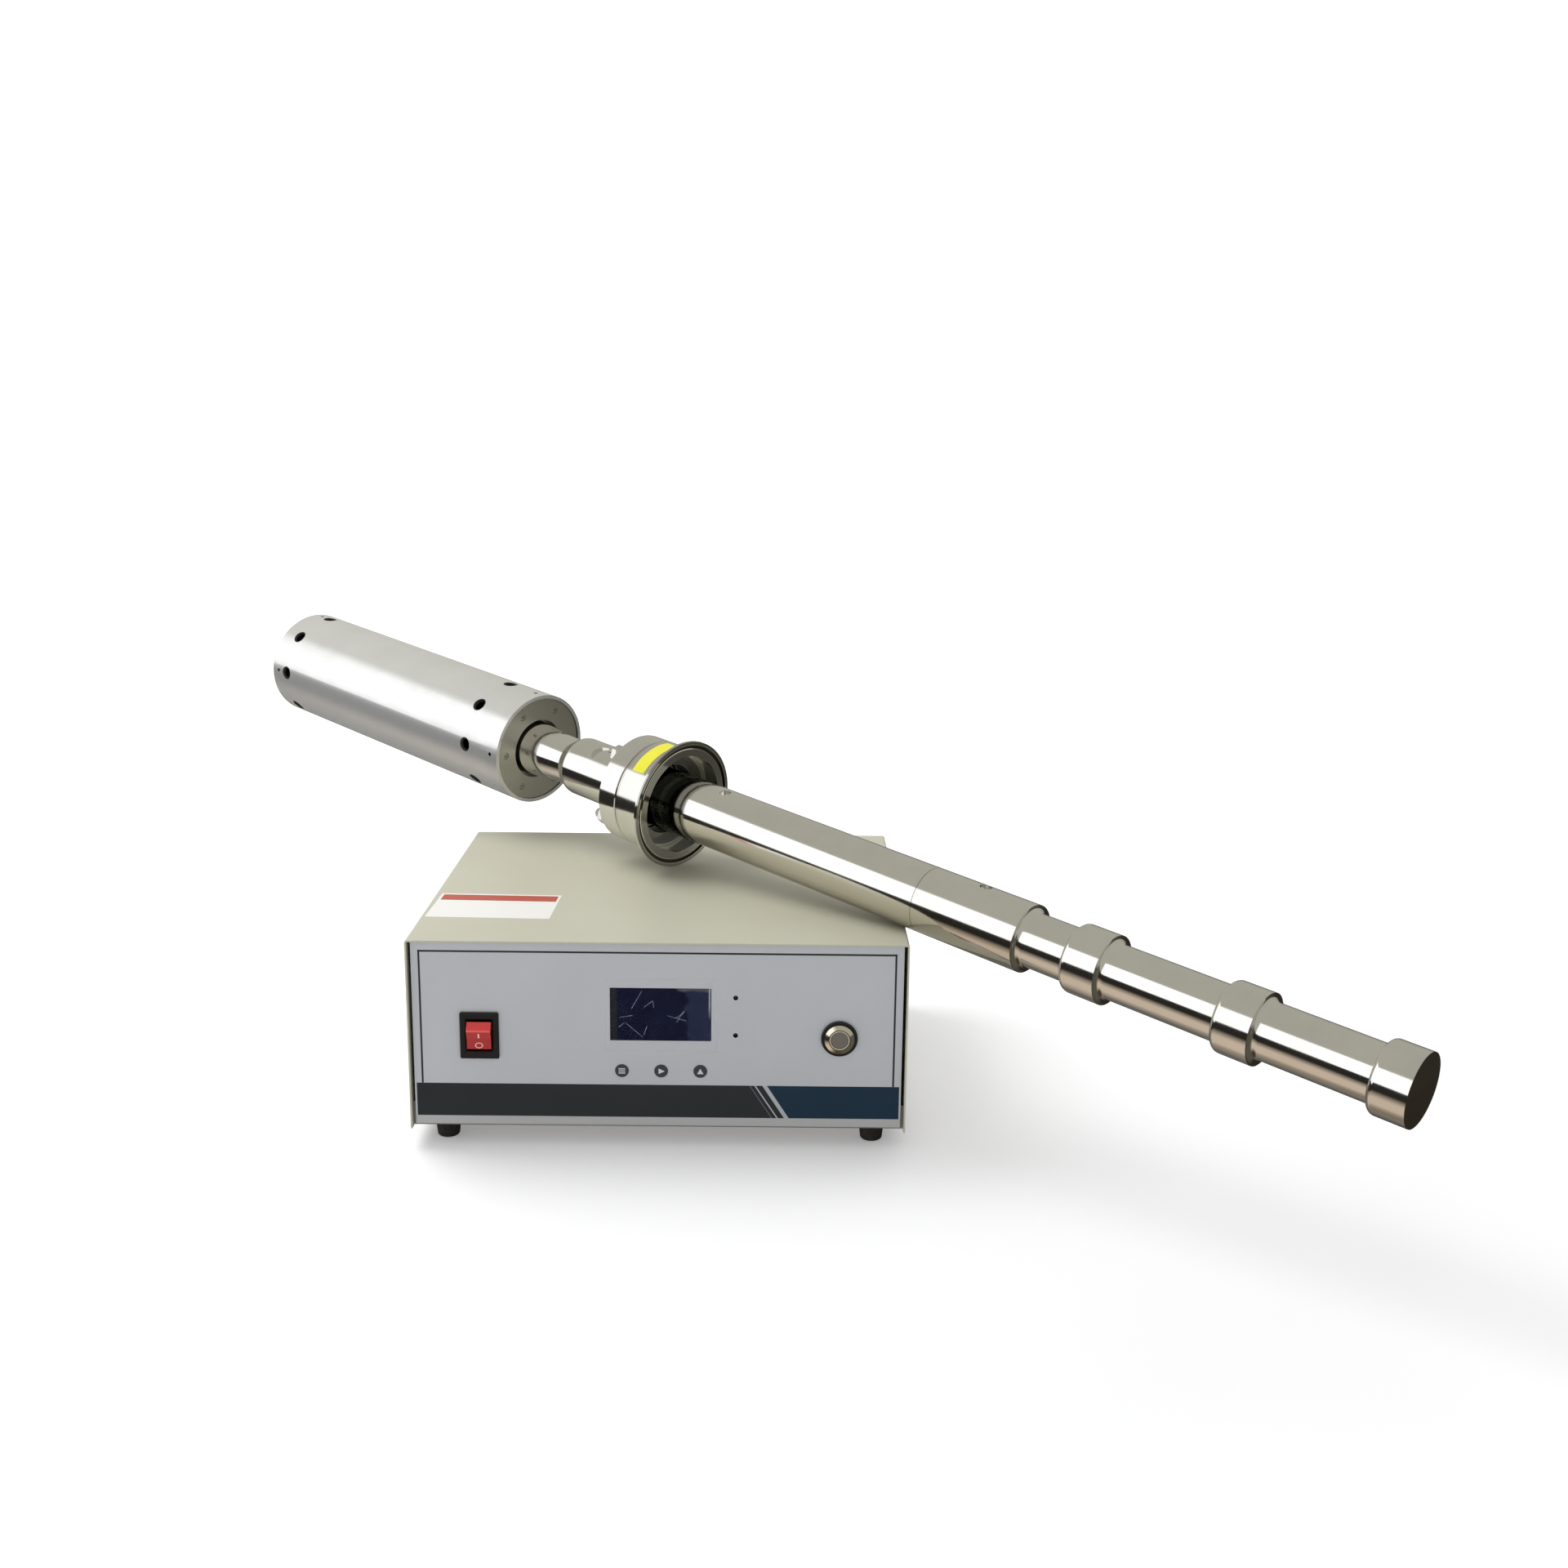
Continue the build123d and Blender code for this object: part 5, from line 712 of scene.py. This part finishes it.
# Four studs clamp the hub on the booster's flange. Each carries a washer and a chamfered nut, plated
# bright, and its end stands out of the nut with its thread showing.
plated = Finish("bright plating", shade(228, 228, 226), 0.2, 1.0)
spot = plated.place()
plated.feed("Roughness", 0.16 + plated.noise(spot, 0.002, 2) * 0.16)
nut_foot, nut_top, stud_end, thread_pitch = 0.0016, 0.0081, 0.0140, 0.00125
stud_r, thread_root, stud_inside, washer_r, nut_half = 0.004, 0.0036, 0.0279, 0.007, 0.0065
profile = [(-stud_inside, "round", 0), (-stud_inside, "round", stud_r), (0, "round", stud_r),
           (0, "round", 0.0067), (0.0003, "round", washer_r), (0.0013, "round", washer_r),
           (nut_foot, "round", 0.0067), (nut_foot, "round", 0.0062),
           (0.0024, "hex", nut_half), (0.0073, "hex", nut_half),
           (nut_top, "round", 0.0062), (nut_top, "round", 0.0042), (nut_top - 0.0006, "round", thread_root)]
for turn in range(5):
    at = nut_top + turn * thread_pitch * 0.85
    profile += [(at, "round", thread_root), (at + thread_pitch * 0.4, "round", stud_r)]
profile += [(stud_end, "round", 0.0031), (stud_end, "round", 0)]
hub_back, stud_circle, first_stud = -0.0529, 0.037, 34
set_in_places("hub_studs_with_nuts", spun("stud with nut", profile),
              [(round_probe(hub_back, stud_circle, first_stud + 90 * k)[0], -probe_aim) for k in range(4)],
              plated, "probe", "hub_studs")

# The socket on the back cap is turned and threaded for the cable's coupling ring. The label round
# the collar is yellow plastic film, stuck on, and blank.
cable_thread = threaded("threaded cable socket", lambda metal: metal.place(probe_flange, along_probe), 0)
cable_thread.wear("cable_socket")
yellow = Finish("yellow label", shade(236, 232, 60), 0.4)
spot = yellow.place()
fading = yellow.noise(spot, 0.006, 3)
yellow.feed("Base Color", yellow.mixed(fading, shade(238, 236, 62), shade(228, 222, 54)))
yellow.wear("collar_label")

# A plain white floor and a curved wall behind, lit by a wide soft light from the upper left. What the
# bright metal mirrors is the room: a grey ceiling, a wide window on the left, a dark skirting and a
# pale bench.
white = (1, 1, 1, 1)
floor_mesh = bpy.data.meshes.new("floor")
half, front_y, back_y, rise_r, wall_top, below_feet = 6.0, -6.0, 3.0, 1.5, 6.0, 0.0004
profile = [(front_y, 0.0), (back_y, 0.0)]
for turn in (k * pi / 32 for k in range(1, 17)):
    profile.append((back_y + rise_r * sin(turn), rise_r * (1 - cos(turn))))
profile.append((back_y + rise_r, wall_top))
verts = [(side * half, y, z - below_feet) for y, z in profile for side in (-1, 1)]
faces = [(2 * k, 2 * k + 1, 2 * k + 3, 2 * k + 2) for k in range(len(profile) - 1)]
floor_mesh.from_pydata(verts, [], faces)
floor_mesh.polygons.foreach_set("use_smooth", [True] * len(faces))
floor = bpy.data.objects.new("floor", floor_mesh)
bpy.context.scene.collection.objects.link(floor)
pale = Finish("white floor", shade(240, 240, 240), 0.9, Emission_Strength=0.6, Specular_IOR_Level=0.0)
x, y, z = pale.parts(pale.place())
away = (x * x + y * y) ** 0.5
pale.feed("Emission Color", pale.mixed(away.over(1.2, 1.3), shade(166, 166, 166), white))
floor.data.materials.append(pale.material)
floor.visible_glossy = False

key = bpy.data.objects.new("key", bpy.data.lights.new("key", "AREA"))
key.data.shape = "RECTANGLE"
key.data.size, key.data.size_y = 0.9, 0.9
key.data.energy = 12.5
key.location = (-0.75, 0.3, 1.25)
key.rotation_euler = (Vector((0, 0, 0.1)) - key.location).to_track_quat("-Z", "Y").to_euler()
key.visible_glossy = False
key.visible_camera = False
bpy.context.scene.collection.objects.link(key)

world = bpy.data.worlds.new("room")
world.use_nodes = True
bpy.context.scene.world = world


class Room(Finish):
    """The world's light, built with the same sums as a material."""

    def __init__(self, tree):
        self.tree = tree


room = Room(world.node_tree)
sky = room.node("ShaderNodeTexCoord", output="Generated")
x, y, z = room.parts(sky)
ceiling = shade(179, 176, 165)
window_light, room_fill = (1.32, 1.32, 1.32, 1), (0.57, 0.57, 0.58, 1)
skirting = shade(44, 42, 39)
bench = shade(220, 204, 186)
shadow = shade(78, 64, 50)
right_side = room.mixed(y.over(0.3, 0.3), shade(94, 92, 84), shade(48, 44, 37))
under_part, bench_end, horizon, window_top = -0.9, -0.5, -0.02, 0.655
low = room.mixed(z.over(under_part, 0.12), shadow, bench)
low = room.mixed(z.over(bench_end, 0.28), low, skirting)
low = room.mixed(y.over(0.35, 0.4), low, shade(112, 110, 104))
low = room.mixed(x.over(0.15, 0.3), low, right_side)
in_window = (1 - x.over(-0.35, 0.2)) * (1 - y.over(0.25, 0.2)) * (1 - z.over(window_top, 0.02))
high = room.mixed(in_window, ceiling, window_light)
far_wall = room.mixed(x.over(0, 0.3), shade(196, 191, 180), shade(120, 116, 108))
high = room.mixed((1 - z.over(0.05, 0.5)) * y.over(0.5, 0.3), high, far_wall)
around = room.mixed(z.over(horizon, 0.03), low, high)
mirror_ray = room.node("ShaderNodeLightPath", output="Is Glossy Ray")
light = room.mixed(mirror_ray, room_fill, around)
seen_ray = room.node("ShaderNodeLightPath", output="Is Camera Ray")
light = room.mixed(seen_ray, light, white)
room.tree.links.new(light.socket, room.tree.nodes["Background"].inputs["Color"])
